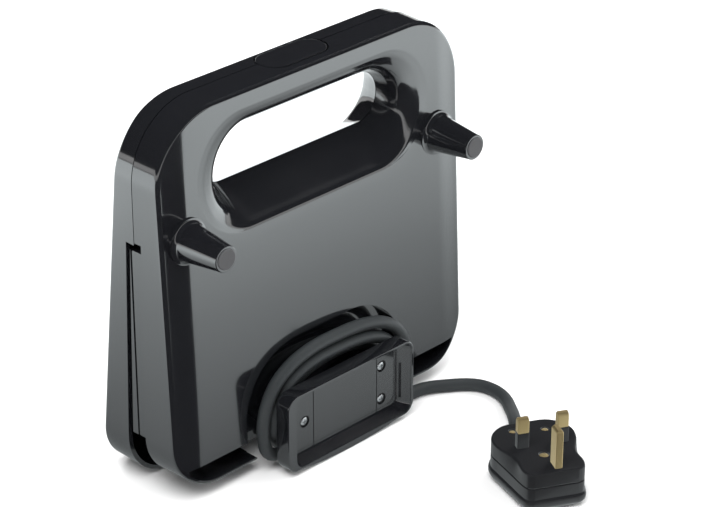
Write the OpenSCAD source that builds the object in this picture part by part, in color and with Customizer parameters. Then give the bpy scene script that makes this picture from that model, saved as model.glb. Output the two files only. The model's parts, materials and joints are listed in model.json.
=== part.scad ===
// A two-slice sandwich toaster that stands on its hinge end. Its two shells meet on the plane y = 0
// before the whole model is centred, X runs along the handle, Y from the base to the lid, Z up.

/* [Shells] */
// Width of both shells
body_w = 220; // [210:1:240]
// Height of the lid shell, from the floor to the handle's top
body_h = 220; // [214:1:236]
// Gap under the base shell's hinge end
base_lift = 6; // [5:0.5:8]
// Wall of both shells
shell_wall = 2.2; // [1.8:0.1:2.6]
// Depth of the base shell at its hinge end
base_low_depth = 26.7; // [26:0.1:30]
// Depth of the base shell at the handle's top
base_top_depth = 17.7; // [16:0.1:20]
// Depth of the lid shell at its hinge end
lid_low_depth = 36.8; // [36:0.1:40]
// Depth of the lid shell at the handle's top
lid_top_depth = 12.4; // [12:0.1:16]
// Corner radius at the handle end
handle_corner_r = 39.5; // [30:0.5:44]
// Corner radius at the hinge end
hinge_corner_r = 29.5; // [24:0.5:34]
// Radius of the shells' outer edges
edge_r = 2.5; // [1.5:0.1:3.5]
// How far each side wall leans in from the seam to its face
side_draft = 0.6; // [0.3:0.1:1.2]
// Width of the softly rolled strip inside each shell's edge
roll_w = 16; // [10:1:22]
// How far that strip falls away
roll_drop = 1.2; // [0.6:0.1:1.8]
// Gap between the two rims at the seam
seam_gap = 0.5; // [0.4:0.1:0.8]

/* [Handle] */
// Half length of the opening where the shells meet
grip_half = 64.3; // [58:0.1:70]
// Distance of the opening's lower edge from the handle's top, at the seam
grip_down = 56.5; // [54:0.5:60]
// Height of the opening where the shells meet
grip_high = 29; // [26:0.5:32]
// How far the opening's flare reaches past its throat on the base, along X
flare_reach = 14.9; // [10:0.1:18]
// Depth of the flare on the base's face
flare_depth = 4; // [3:0.1:6]

/* [Side slots] */
// Distance of the side slots' upper ends from the handle's top
slot_down = 72.5; // [70:0.5:80]
// How far the base's rim stands back at the slot's upper end
base_slot_top = 5; // [3:0.1:6]
// How far the base's rim stands back at the hinge end
base_slot_low = 2.4; // [2:0.1:4]
// How far the lid's rim stands back at the slot's upper end
lid_slot_top = 6.6; // [6:0.1:8]
// How far the lid's rim stands back at the hinge end
lid_slot_low = 11.4; // [11:0.1:12.4]

/* [Cord recess] */
// Half width of the round-topped recess in the base
recess_half = 59.3; // [56:0.1:64]
// Height of the recess's top
recess_top = 69.4; // [66:0.1:74]
// Corner radius of the recess
recess_r = 39; // [30:0.5:44]
// Wall round the recess and the channel
recess_wall = 2; // [1.6:0.1:2.4]
// Distance of the recess's floor from the seam
recess_floor = 18; // [17.4:0.1:18.6]
// Height of the cross channel's upper edge
channel_top = 20.4; // [19.4:0.1:21.4]
// Distance of the channel's floor from the seam
channel_floor = 8; // [7.6:0.1:8.6]
// Wall left between the channel and the hinge end
channel_lip = 2.4; // [2:0.1:3]
// Half width of the notch in that wall, for winding the cord
notch_half = 62; // [60:0.5:66]

/* [Feet] */
// Distance of each foot from the side of the shells
foot_side = 18.5; // [16:0.5:22]
// Distance of the feet from the handle's top
foot_down = 69.4; // [68:0.1:74]
// How far a foot stands out
foot_reach = 27.7; // [24:0.1:32]
// Radius of a foot's tip
foot_tip_r = 7.2; // [6.5:0.1:8]
// Radius of a foot where it meets the base
foot_root_r = 12.7; // [11:0.1:14]
// Radius of the rubber pad
pad_r = 5.6; // [4.6:0.1:6]
// How far the pad stands out of the tip
pad_proud = 0.8; // [0.4:0.1:1.5]

/* [Cord tray] */
// Half width of the tray's flange
tray_half = 48.06; // [45:0.1:52]
// Lower edge of the flange
tray_low = 3; // [2.6:0.1:4]
// Upper edge of the flange
tray_high = 49.3; // [46:0.1:54]
// Distance of the flange's front from the seam
tray_front = 45.7; // [44:0.1:48]
// Depth of the tray
tray_depth = 7; // [5:0.1:8]
// Floor of the tray
tray_floor_t = 2.5; // [2:0.1:3]
// Corner radius of the flange
tray_r = 7.5; // [6:0.1:9]
// Half width of the bowed foot under the flange
bow_half = 38; // [30:1:42]
// Distance of the screws from the middle
screw_x = 29.45; // [26:0.1:32]
// Height of the left screw
screw_left_z = 26.1; // [24:0.1:28]
// Height of the lower right screw
screw_low_z = 15.5; // [14:0.1:17]
// Height of the upper right screw
screw_high_z = 36.1; // [34:0.1:38]

/* [Latch] */
// Length of the latch
latch_w = 44; // [36:1:52]
// Width of the latch across the seam
latch_d = 20; // [18:0.5:22]
// Where the latch's middle lies across the seam, towards the base
latch_shift = 1.5; // [0:0.1:2.5]
// Thickness of the latch
latch_t = 3; // [2.4:0.1:4]
// Gap around the latch
latch_gap = 0.8; // [0.7:0.1:1]

/* [Hinge] */
// Distance of the hinge axis from the seam
axis_y = 20; // [19.6:0.1:20.6]
// Height of the hinge axis
axis_z = 17.5; // [17:0.1:18.5]
// Distance of each hinge arm from the middle
arm_x = 70; // [69:0.5:76]
// Thickness of a hinge arm
arm_t = 7; // [6:0.1:8]
// Radius of a hinge pin
pin_r = 2; // [1.6:0.1:2.5]
// Clearance of a pin in its arm, on the radius
pin_clear = 0.05; // [0.02:0.01:0.08]

/* [Plates] */
// Distance from the seam to the plane where the plates meet
part_y = 4.75; // [4.5:0.05:5.25]
// Gap between the plates
plate_gap = 0.5; // [0.4:0.1:1]
// Room from the side of the shells to the plates
plate_side = 10; // [9:0.5:16]
// Lower edge of the plates
plate_low = 32; // [31:0.5:34]
// Distance of the plates' upper edge from the handle's top
plate_top_room = 78; // [77:0.5:82]
// Depth of the pockets
pocket_depth = 7.5; // [6:0.1:8]
// Metal of a plate
plate_t = 2; // [1.6:0.1:2.4]
// Radius of a heating element
element_r = 3; // [2.6:0.1:3.3]
// Wall of the plates' carriers
carrier_wall = 2; // [1.6:0.1:2.4]

/* [Cord] */
// Radius of the cord
cord_r = 3.6; // [3:0.1:3.9]
// Spacing of the wound turns
turn_pitch = 7.9; // [7.9:0.05:8.4]
// Turns on the tray
turns = 2.71; // [1.71:0.01:2.74]

/* [Plug] */
// Radius of the line and neutral pins' pitch
pin_pitch = 11.1; // [10.6:0.1:11.6]
// Distance of the earth pin from the other two
earth_y = 22.2; // [21.6:0.1:22.8]
// Height of the plug's pin face over the floor
plug_h = 24; // [20:0.5:26]
// Length of the line and neutral pins
pin_len = 17.7; // [16:0.1:19]
// Length of the earth pin
earth_len = 22.7; // [21:0.1:24]
// Turn of the plug on the floor
plug_turn = -28.9; // [-32:0.1:-26]

/* [Hidden] */
$fn = 48;
thin = 0.02;
far = 300;
half_w = body_w / 2;
grip_low = body_h - grip_down;
slot_top = body_h - slot_down;
foot_x = half_w - foot_side;
foot_z = body_h - foot_down;
plate_half = half_w - plate_side;
plate_high = body_h - plate_top_room;
rim = seam_gap / 2;
base_slope = (base_low_depth - base_top_depth) / (body_h - base_lift);
lid_slope = (lid_low_depth - lid_top_depth) / body_h;
// Depth of each face, from the seam, at a height
function base_depth(z) = base_low_depth - base_slope * (z - base_lift);
function lid_depth(z) = lid_low_depth - lid_slope * z;
foot_face = base_depth(foot_z);
front_reach = foot_face + foot_reach + pad_proud;
// The model is centred on its front and back, so its origin is under the middle of its box
seam_y = (front_reach - lid_depth(edge_r)) / 2;
base_part = part_y - plate_gap / 2;
lid_part = part_y + plate_gap / 2;
grip_mid = grip_low + grip_high / 2;
body_black = [0.03, 0.03, 0.035];
soft_black = [0.06, 0.06, 0.065];
cord_grey = [0.13, 0.14, 0.15];
steel = [0.72, 0.73, 0.75];
brass = [0.78, 0.62, 0.3];
cast = [0.1, 0.1, 0.1];

// A quarter turn of points in the XZ plane
function arc(x, z, r, from, steps = 8) =
  [for (i = [0:steps]) [x + r * cos(from + 90 * i / steps), z + r * sin(from + 90 * i / steps)]];
// A rectangle with its lower and upper corners rounded
function rounded(x0, x1, z0, z1, r_low, r_top) = concat(
  arc(x1 - r_top, z1 - r_top, r_top, 0), arc(x0 + r_top, z1 - r_top, r_top, 90),
  arc(x0 + r_low, z0 + r_low, r_low, 180), arc(x1 - r_low, z0 + r_low, r_low, 270));
// A slot with round ends, on the middle of the width
function stadium(half, z0, z1) = rounded(-half, half, z0, z1, (z1 - z0) / 2, (z1 - z0) / 2);
// The outline of a shell, drawn in by inset; side narrows it at the left and right only
function shell_line(low, inset, side = 0) =
  rounded(-half_w + inset + side, half_w - inset - side, low + inset, body_h - inset,
    hinge_corner_r - inset - side / 3, handle_corner_r - inset - side / 3);

module placed() translate([0, seam_y, 0]) children();
// Points in the XZ plane, made a sheet that reaches t towards the front
module sheet(points, t = thin) rotate([90, 0, 0]) linear_extrude(t) polygon(points);
// A sheet's solid from y0 back to y1
module block(points, y0, y1) translate([0, y1, 0]) sheet(points, y1 - y0);
// Points in the YZ plane, made a bar across the width
module across(points, half = far)
  rotate([90, 0, 90]) translate([0, 0, -half]) linear_extrude(2 * half) polygon(points);
// A place on each sloping face, at a depth under it
module on_base(depth) multmatrix([[1, 0, 0, 0],
  [0, 1, base_slope, -base_low_depth - base_slope * base_lift + depth],
  [0, 0, 1, 0], [0, 0, 0, 1]]) children();
module on_lid(depth) multmatrix([[1, 0, 0, 0], [0, 1, -lid_slope, lid_low_depth - depth],
  [0, 0, 1, 0], [0, 0, 0, 1]]) children();
// A round rod along Y, X or Z
module rod_y(x, z, y0, y1, r) translate([x, y1, z]) rotate([90, 0, 0]) cylinder(r = r, h = y1 - y0);
module rod_x(y, z, x0, x1, r) translate([x0, y, z]) rotate([0, 90, 0]) cylinder(r = r, h = x1 - x0);
module bar(x0, x1, y0, y1, z0, z1) translate([x0, y0, z0]) cube([x1 - x0, y1 - y0, z1 - z0]);
// A flat pill with vertical sides
module pill(w, d, z0, z1) {
  for (side = [-1, 1]) translate([side * (w - d) / 2, 0, z0]) cylinder(r = d / 2, h = z1 - z0);
  bar(-(w - d) / 2, (w - d) / 2, -d / 2, d / 2, z0, z1);
}

// The handle's flared opening: at the seam, at the throat and at the face
throat_half = grip_half + 4.7;
throat_low = grip_low - 16;
throat_high = grip_low + grip_high + 9.3;
mouth_half = throat_half + flare_reach;
mouth_low = throat_low - 5.2;
mouth_high = throat_high + 7.8;
module base_funnel(t) {
  hull() {
    translate([0, t > 0 ? -rim : 1, 0])
      sheet(stadium(grip_half + t, grip_low - t, grip_low + grip_high + t));
    on_base(flare_depth + t) sheet(stadium(throat_half + t, throat_low - t, throat_high + t));
  }
  hull() {
    on_base(flare_depth + t) sheet(stadium(throat_half + t, throat_low - t, throat_high + t));
    on_base(t) sheet(stadium(mouth_half + t, mouth_low - t, mouth_high + t), t > 0 ? thin : 1);
  }
}
lid_throat_half = grip_half + 5.1;
lid_throat_low = grip_low - 6.9;
lid_throat_high = grip_low + grip_high + 5.8;
lid_flare = 5.9;
lid_flare_depth = 4;
module lid_funnel(t) {
  hull() {
    translate([0, t > 0 ? rim : -1, 0])
      sheet(stadium(grip_half + t, grip_low - t, grip_low + grip_high + t));
    on_lid(lid_flare_depth + t)
      sheet(stadium(lid_throat_half + t, lid_throat_low - t, lid_throat_high + t));
  }
  hull() {
    on_lid(lid_flare_depth + t)
      sheet(stadium(lid_throat_half + t, lid_throat_low - t, lid_throat_high + t));
    on_lid(t > 0 ? t : -1) sheet(stadium(lid_throat_half + lid_flare + t,
      lid_throat_low - lid_flare - t, lid_throat_high + lid_flare - 1 + t));
  }
}

// The recess for the cord, drawn out by t
function recess_line(t) = rounded(-recess_half - t, recess_half + t, base_lift + channel_lip - t,
  recess_top + t, 8 + t, recess_r + t);
// The channel across the hinge end follows the shell's rounded corners
module channel(t) intersection() {
  block(shell_line(base_lift, channel_lip + side_draft - t), -far, t - channel_floor);
  bar(-far, far, -far, far, base_lift, channel_top + t);
}
screws_at = [[-screw_x, screw_left_z, 5.2], [screw_x, screw_high_z, 4.3], [screw_x, screw_low_z, 4.3]];
// A screw that stands in the channel meets a deeper floor
function floor_at(z) = z < channel_top + 1 ? channel_floor : recess_floor;
tray_boss = 3.5;
tray_screw_r = 1.5;
latch_y = -latch_shift;
latch_floor = body_h - latch_t - latch_gap;
foot_seat = 1.2;
foot_screw_r = 1.6;
arm_screw_z = 25;
arm_gap = 0.4;
arm_half = 4.6;
gland_neck_r = 3.6;

module base_shell() placed() color(body_black) difference() {
  hull() {
    translate([0, -rim, 0]) sheet(shell_line(base_lift, 0));
    on_base(edge_r + roll_drop) sheet(shell_line(base_lift, side_draft));
    on_base(edge_r * 0.3 + roll_drop) sheet(shell_line(base_lift, side_draft + edge_r * 0.3));
    on_base(roll_drop) sheet(shell_line(base_lift, side_draft + edge_r));
    on_base(0) sheet(shell_line(base_lift, side_draft + edge_r, roll_w));
  }
  difference() {
    hull() {
      translate([0, 2, 0]) sheet(shell_line(base_lift, shell_wall));
      on_base(shell_wall + edge_r + roll_drop) sheet(shell_line(base_lift, shell_wall + side_draft));
      on_base(shell_wall + roll_drop)
        sheet(shell_line(base_lift, shell_wall + side_draft + edge_r * 0.6));
      on_base(shell_wall)
        sheet(shell_line(base_lift, shell_wall + side_draft + edge_r * 0.6, roll_w));
    }
    base_funnel(shell_wall);
    block(recess_line(recess_wall), -far, recess_wall - recess_floor);
    channel(recess_wall);
    for (s = screws_at) rod_y(s[0], s[1], -far, recess_wall + tray_boss - floor_at(s[1]), 4);
    for (side = [-1, 1]) rod_y(side * foot_x, foot_z, -far, 6 - foot_face, 5);
    for (side = [-1, 1]) {
      rod_y(side * arm_x, arm_screw_z, -far, -arm_seat, 4.4);
      rod_y(side * carrier_x, carrier_low_z, -far, -carrier_back, 4.5);
      rod_y(side * carrier_x, carrier_high_z, -far, -carrier_back, 4.5);
    }
    translate([0, latch_y, 0]) pill(latch_w + 2 * latch_gap + 4, latch_d + 2 * latch_gap + 4, latch_floor - 2, far);
    block(rounded(terminal_x - 10, terminal_x + 10, terminal_z - 12, terminal_z + 12, 1, 1), -far, -terminal_back);
    block(rounded(-terminal_x - 10, -terminal_x + 10, terminal_z - 12, terminal_z + 12, 1, 1), -far, -terminal_back);
  }
  base_funnel(0);
  block(recess_line(0), -far, -recess_floor);
  channel(0);
  bar(-notch_half, notch_half, -far, -channel_floor, 0, base_lift + channel_lip + 1);
  across([[rim - 1, slot_top + 1.5], [-base_slot_top, slot_top + 1.5], [-base_slot_low, 33],
    [-base_slot_low, -1], [rim + 3, -1], [rim + 3, slot_top + 1.5]]);
  translate([0, latch_y, 0]) pill(latch_w + 2 * latch_gap, latch_d + 2 * latch_gap, latch_floor, far);
  for (s = screws_at) rod_y(s[0], s[1], -far, recess_wall + tray_boss - 1 - floor_at(s[1]), tray_screw_r);
  for (side = [-1, 1]) {
    rod_y(side * foot_x, foot_z, -far, foot_seat - foot_face, foot_root_r + 0.1);
    rod_y(side * foot_x, foot_z, -far, far, foot_screw_r);
    rod_y(side * arm_x, arm_screw_z, -arm_seat - 6, 5, 1.5);
    rod_y(side * carrier_x, carrier_low_z, -carrier_back - 8, 5, 1.3);
    rod_y(side * carrier_x, carrier_high_z, -carrier_back - 8, 5, 1.3);
  }
  rod_y(gland_foot[0], gland_foot[2], -far, -10, gland_neck_r + 0.05);
}

// The carriers stand just inside the side slots and hold the plates by their edges
carrier_half = half_w - 5;
carrier_low = plate_low - 1.4;
carrier_high = plate_high + 1.6;
carrier_back = 12;
carrier_x = carrier_half - 13;
carrier_low_z = 50;
carrier_high_z = plate_high - 9;
plate_fit = 0.4;
lug_h = 2.5;
ledge = 4;
terminal_x = recess_half + 13;
terminal_z = 50;
terminal_back = 14;
arm_seat = 5.5;
element_half = plate_half - 22;
element_low = 68;
element_high = plate_high - 36;
base_element_y = base_part - pocket_depth - plate_t - element_r - 0.2;
lid_element_y = lid_part + pocket_depth + plate_t + element_r + 0.2;
shield_t = 0.6;
base_shield_y = -carrier_back;

module carrier(y0, y1, ledge_from, ledge_to) difference() {
  block(rounded(-carrier_half, carrier_half, carrier_low, carrier_high, 5, 5), y0, y1);
  block(rounded(-plate_half - plate_fit, plate_half + plate_fit, plate_low - plate_fit,
    plate_high + plate_fit, 3, 3), ledge_from, ledge_to);
  block(rounded(-plate_half + ledge, plate_half - ledge, plate_low + ledge,
    plate_high - ledge, 3, 3), -far, far);
}
// A lug on the inside of a carrier, for its screw
module lug(side, z, y) bar(side > 0 ? carrier_x - 3.6 : -plate_half + ledge - thin,
  side > 0 ? plate_half - ledge + thin : 3.6 - carrier_x, y, y + lug_h, z - 5, z + 5);
module base_frame() placed() color(soft_black) difference() {
  union() {
    carrier(-carrier_back, base_part, base_part - plate_t, far);
    for (side = [-1, 1], z = [carrier_low_z, carrier_high_z])
      lug(side, z, -carrier_back);
  }
  for (side = [-1, 1], z = [carrier_low_z, carrier_high_z])
    rod_y(side * carrier_x, z, -far, far, 1.8);
}
pocket_half = 35;
// Two square pockets, each crossed by a ridge that parts it into triangles
module pockets(y0, y1, t) {
  mid = (plate_low + plate_high) / 2;
  reach = (plate_high - plate_low) / 2 - 8;
  for (side = [-1, 1]) {
    cx = side * plate_half / 2;
    difference() {
      block(rounded(cx - pocket_half - t, cx + pocket_half + t, mid - reach - t, mid + reach + t,
        6 + t, 6 + t), y0, y1);
      if (t == 0) translate([cx, 0, mid])
        rotate([0, -side * atan(reach / pocket_half), 0]) bar(-80, 80, -far, far, -3, 3);
    }
  }
}
module lower_plate() placed() color(cast) difference() {
  union() {
    block(rounded(-plate_half, plate_half, plate_low, plate_high, 3, 3), base_part - plate_t, base_part);
    pockets(base_part - pocket_depth - plate_t, base_part - 1, plate_t);
  }
  pockets(base_part - pocket_depth, far, 0);
}
module upper_plate() placed() color(cast) difference() {
  union() {
    block(rounded(-plate_half, plate_half, plate_low, plate_high, 3, 3), lid_part, lid_part + plate_t);
    pockets(lid_part + 1, lid_part + pocket_depth + plate_t, plate_t);
  }
  pockets(-far, lid_part + pocket_depth, 0);
}
// A heater bent to a loop, open at the bottom, with both ends turned down
module element(y) {
  r = 14;
  for (side = [-1, 1]) {
    translate([side * (element_half - r), y, element_high - r]) rotate([90, 0, 0])
      rotate([0, 0, side > 0 ? 0 : 90]) rotate_extrude(angle = 90) translate([r, 0]) circle(r = element_r);
    translate([side * (element_half - r), y, element_low + r]) rotate([90, 0, 0])
      rotate([0, 0, side > 0 ? 270 : 180]) rotate_extrude(angle = 90) translate([r, 0]) circle(r = element_r);
    translate([side * element_half, y, element_low + r]) cylinder(r = element_r, h = element_high - element_low - 2 * r);
    rod_x(y, element_low, side > 0 ? 12 : r - element_half, side > 0 ? element_half - r : -12, element_r);
  }
  rod_x(y, element_high, r - element_half, element_half - r, element_r);
}
module lower_element() placed() color(steel) element(base_element_y);
module upper_element() placed() color(steel) element(lid_element_y);
shield_low = 61.5;
module lower_reflector() placed() color(steel) {
  bar(2 - plate_half, plate_half - 2, base_shield_y - shield_t, base_shield_y, shield_low, plate_high - 15);
  bar(8 - plate_half, plate_half - 8, base_shield_y - thin, base_shield_y + 3, plate_high - 16, plate_high - 16 + shield_t);
}
lid_shield_y = lid_element_y + element_r + 0.3;
pad_x = carrier_half - 19;
lid_shield_high = plate_high - 29;
module upper_reflector() placed() color(steel) {
  bar(-pad_x - 4, pad_x + 4, lid_shield_y, lid_shield_y + shield_t, shield_low, lid_shield_high);
  for (z = [shield_low, lid_shield_high - shield_t])
    bar(-pad_x, pad_x, lid_shield_y - 3, lid_shield_y + thin, z, z + shield_t);
}
// A screw along Y with a round head; out is the way its head faces
module screw(x, z, head_y, length, r, out) {
  rod_y(x, z, out > 0 ? head_y - length : head_y, out > 0 ? head_y : head_y + length, r);
  difference() {
    rod_y(x, z, out > 0 ? head_y : head_y - 1.6, out > 0 ? head_y + 1.6 : head_y, r * 1.9);
    translate([x, head_y + out * 1.6, z]) {
      cube([r * 2, 1.4, 0.7], center = true);
      cube([0.7, 1.4, r * 2], center = true);
    }
  }
}
module carrier_screws() placed() color(steel)
  for (side = [-1, 1], z = [carrier_low_z, carrier_high_z])
    screw(side * carrier_x, z, lug_h - carrier_back, 9, 1.3, 1);
module hinge_arms() placed() color(soft_black) for (side = [-1, 1]) difference() {
  union() {
    rod_x(axis_y, axis_z, side * arm_x - arm_t / 2, side * arm_x + arm_t / 2, arm_half);
    bar(side * arm_x - arm_t / 2, side * arm_x + arm_t / 2, -arm_seat, axis_y, axis_z - arm_half, axis_z + arm_half);
    bar(side * arm_x - arm_t / 2, side * arm_x + arm_t / 2, -arm_seat, 3 - arm_seat, axis_z - arm_half, arm_screw_z + 4.6);
  }
  rod_x(axis_y, axis_z, -far, far, pin_r + pin_clear);
  rod_y(side * arm_x, arm_screw_z, -far, far, 1.7);
}
module arm_screws() placed() color(steel)
  for (side = [-1, 1]) screw(side * arm_x, arm_screw_z, 3 - arm_seat, 8.5, 1.5, 1);
module thermostat() placed() color(cast) {
  rod_y(-terminal_x, terminal_z, -terminal_back, base_part - pocket_depth - plate_t - 0.3, 7.5);
  bar(-terminal_x - 9, -terminal_x + 9, -terminal_back, 1 - terminal_back, terminal_z - 6, terminal_z + 6);
}
module terminal_block() placed() color([0.9, 0.88, 0.8]) difference() {
  bar(terminal_x - 9, terminal_x + 9, -terminal_back, 6.5 - terminal_back, terminal_z - 10, terminal_z + 10);
  for (z = [-6, 0, 6]) rod_y(terminal_x, terminal_z + z, 2.5 - terminal_back, far, 2);
}
fuse_z = 92;
module thermal_fuse() placed() color(steel)
  rod_x(base_shield_y - shield_t - 1.8, fuse_z, -9, 9, 1.8);

// The winding: a flat-bottomed oval seen from the front, each turn inside the last
coil_mid_x = 3.25;
coil_half = 58.6;
coil_mid_z = 24;
coil_rise = 43.9;
coil_drop = 19.8;
coil_front = 31.8;
coil_steps = 24;
// How far a place on the oval is towards its bottom, from 0 on the upper half to 1 at the bottom
function bottomness(a) = let(k = min(1, max(0, cos(a) / 0.5))) k * k * (3 - 2 * k);
// Across the bottom the turns lie one behind the other, and elsewhere mostly one inside the other
function turn_tilt(a) = 22 + 66 * bottomness(a);
function oval_r(a, w, up, down) =
  let(n = cos(a) > 0 ? 3.4 : 2.6, h = cos(a) > 0 ? down : up)
  1 / ((abs(sin(a)) / w) ^ n + (abs(cos(a)) / h) ^ n) ^ (1 / n);
function coil_at(u) = let(a = 360 * u, tilt = turn_tilt(a), inset = u * turn_pitch * cos(tilt),
    r = oval_r(a, coil_half - inset, coil_rise - inset, coil_drop - inset))
  [coil_mid_x - r * sin(a), -coil_front + u * turn_pitch * sin(tilt), coil_mid_z - r * cos(a)];
coil_route = [for (i = [0:floor(turns * coil_steps)]) coil_at(i / coil_steps)];
coil_end = coil_route[len(coil_route) - 1];
// The cord turns from the winding into its gland
gland_turn = [0, 0.8, -0.6];
gland_mouth = coil_end + [1, 2.4, -5.2];
gland_reach = (-recess_floor - gland_mouth[1]) / gland_turn[1];
gland_foot = gland_mouth + gland_reach * gland_turn;
full_route = concat(coil_route,
  [coil_end + [0.7, 0.45, -2.9], gland_mouth - 0.9 * gland_turn, gland_mouth]);
least_gap = min([for (i = [0:len(full_route) - 1], j = [i + 8:1:len(full_route) - 1])
  segment_gap(full_route[i], full_route[j], full_route[min(j + 1, len(full_route) - 1)])]) - 2 * cord_r;
// Distance from a point to the stretch between two others
function segment_gap(p, a, b) = let(d = b - a, n = d * d, k = n == 0 ? 0 : min(1, max(0, (p - a) * d / n)))
  norm(p - a - k * d);
function route_length(p) = [for (i = [1:len(p) - 1]) norm(p[i] - p[i - 1])]
  * [for (i = [1:len(p) - 1]) 1];
// The plug lies on its back with its pins up; its own Y runs towards the cord
plug_mid = [45.4, -141.4, 0];
function plug_at(p) = plug_mid + [p[0] * cos(plug_turn) - p[1] * sin(plug_turn),
  p[0] * sin(plug_turn) + p[1] * cos(plug_turn), p[2]];
lead_route = [coil_at(0), coil_at(0) - 8 * heading(coil_route, 0), [26, -32.3, 4], [44, -32.6, 3.8], [63, -32.9, 3.7],
  [72, -35.5, 3.6], [80, -40.8, 3.6], [87.5, -46.6, 3.6], [92.8, -53, 3.6], [95, -60.5, 3.6],
  [94.3, -69, 3.7], [90.3, -77.5, 4.3], [84.6, -85, 5.4], [78, -92.8, 7.6], [70.8, -100.4, 10],
  plug_at([0, 38.5, 11.5]), plug_at([0, 30.1, 11.5])];
echo(least_gap = least_gap, coil_length = route_length(full_route), lead_length = route_length(lead_route));
echo(coil_end = coil_end, seam_y = seam_y);

function unit(v) = v / norm(v);
function heading(p, i) = unit(p[min(i + 1, len(p) - 1)] - p[max(i - 1, 0)]);
function ring(c, t, up, r, n) = let(u = unit(cross(up, t)), v = cross(t, u))
  [for (k = [0:n - 1]) c + r * (u * cos(360 * (k + 0.5) / n) + v * sin(360 * (k + 0.5) / n))];
// One closed tube along a route, its rings square to it
module tube(route, r, n, up) {
  last = len(route) - 1;
  points = [for (i = [0:last]) each ring(route[i], heading(route, i), up, r, n)];
  sides = [for (i = [0:last - 1], k = [0:n - 1]) each let(a = i * n + k, b = i * n + (k + 1) % n)
    [[a, b, b + n], [a, b + n, a + n]]];
  caps = [for (k = [1:n - 2]) each [[0, k + 1, k], [last * n, last * n + k, last * n + k + 1]]];
  polyhedron(points = points, faces = concat([for (f = sides) [f[0], f[2], f[1]]], [for (f = caps) [f[0], f[2], f[1]]]));
}
module cord_coil() placed() color(cord_grey) tube(full_route, cord_r, 6, [0, 1, 0]);
module cord_lead() placed() color(cord_grey) tube(lead_route, cord_r, 8, [0, 0, 1]);

gland_r = 4.4;
gland_flange_r = 5.4;
module gland_axis() translate(gland_mouth) rotate([-acos(gland_turn[2]), 0, 0]) children();
module cord_gland() placed() color(soft_black) {
  difference() {
    gland_axis() cylinder(r = gland_r, h = gland_reach + gland_r);
    rod_y(gland_foot[0], gland_foot[2], -recess_floor - 1, far, 4 * gland_r);
  }
  rod_y(gland_foot[0], gland_foot[2], -recess_floor - 1.5, -recess_floor, gland_flange_r);
  rod_y(gland_foot[0], gland_foot[2], -recess_floor - thin, 4.5 - recess_floor, gland_neck_r);
}
gland_inner = [gland_foot[0], 4.5 - recess_floor, gland_foot[2]];
lead_r = 1.2;
// A smooth line through points: a cubic whose slope at each is half the step between its neighbours
function smooth(p, n = 4) = [for (i = [0:len(p) - 2], k = [0:n - 1])
  let(a = p[max(i - 1, 0)], b = p[i], c = p[i + 1], d = p[min(i + 2, len(p) - 1)], t = k / n)
  0.5 * (2 * b + t * (c - a) + t * t * (2 * a - 5 * b + 4 * c - d) + t * t * t * (3 * b - a - 3 * c + d)),
  p[len(p) - 1]];
module inner_leads() placed() color([0.5, 0.5, 0.52]) {
  for (k = [-1:1]) {
    x = terminal_x + 5 * k;
    tube(smooth([gland_inner + [0, 0.2, -2 * k], gland_inner + [0, 1.2, -2 * k], gland_inner + [2.4, 2.4, 0.8 - 2 * k],
      gland_inner + [5.5, 0.6, 1.2 - 1.9 * k], gland_inner + [10, 0.2, 4.4 - 1.8 * k],
      [terminal_x - 15, -13.4, 34.4 - 1.6 * k], [x - 3.2, -13.4, 35.2 - 1.5 * k], [x - 0.6, -13.2, 36.6 - 1.2 * k],
      [x, -13.1, terminal_z - 10]]), lead_r * 0.5, 6, [0.3, 1, 0]);
  }
  for (side = [-1, 1])
    tube([for (p = [[terminal_x - 4, -9.4, 0], [terminal_x - 4.5, -9, 2.4], [terminal_x - 10, base_element_y, 4.2],
      [30, base_element_y, 4.2], [9, base_element_y, 4.4], [5, base_element_y, 6.2], [5.4, base_element_y, 8.8],
      [8.6, base_element_y, element_low - shield_low + 1.5], [12, base_element_y, element_low - shield_low + 1.5]])
      [side * p[0], p[1], shield_low - 1.5 + p[2]]], lead_r * 0.6, 6, [0, 1, 0]);
  tube(smooth([[terminal_x - 9, -11, 46], [terminal_x - 12, -12, 45.4], [52, -13.6, 45], [20, -13.8, 44.6], [-20, -13.8, 44.6],
    [-52, -13.6, 45], [-terminal_x + 10.5, -12.2, 47], [-terminal_x + 8.1, -11, 49.6]]), lead_r * 0.6, 6, [0, 0, 1]);
}

// The tray that the cord is wound behind: a rimmed flange on a core with three screws
tray_back = tray_front - tray_depth - tray_floor_t;
tray_inner_half = 40.7;
tray_inner_low = 7.2;
tray_inner_high = 46.8;
bow_r = (bow_half ^ 2 + tray_low ^ 2) / (2 * tray_low);
bow_angle = asin(bow_half / bow_r);
module cord_tray() placed() color(body_black) difference() {
  union() {
    block(rounded(-tray_half, tray_half, tray_low, tray_high, tray_r, tray_r), -tray_front, -tray_back);
    // The bowed foot under the flange just reaches the floor
    block(concat([for (i = [-8:8]) [bow_r * sin(bow_angle * i / 8), bow_r * (1 - cos(bow_angle * i / 8))]],
      [[bow_half, tray_low + 1], [-bow_half, tray_low + 1]]), -tray_front, -tray_back - 1.5);
    for (s = screws_at) rod_y(s[0], s[1], -tray_back - 1, -floor_at(s[1]), s[2]);
    bar(-screw_x, screw_x - 1, -tray_back - 1, -recess_floor, channel_top + 0.6, screw_left_z + 4);
    bar(screw_x - 3.7, screw_x + 3.7, -tray_back - 1, -recess_floor, channel_top + 0.6, screw_high_z);
    bar(screw_x - 3.5, screw_x + 3.5, -tray_back - 1, -channel_floor - 0.2, screw_low_z, channel_top - 0.5);
  }
  block(rounded(-tray_inner_half, tray_inner_half, tray_inner_low, tray_inner_high, 3, 3),
    -far, -tray_back - tray_floor_t);
  for (s = screws_at) {
    rod_y(s[0], s[1], -far, 0, tray_screw_r + 0.3);
    rod_y(s[0], s[1], -far, -tray_back - 1.2, 3.5);
  }
}
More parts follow.
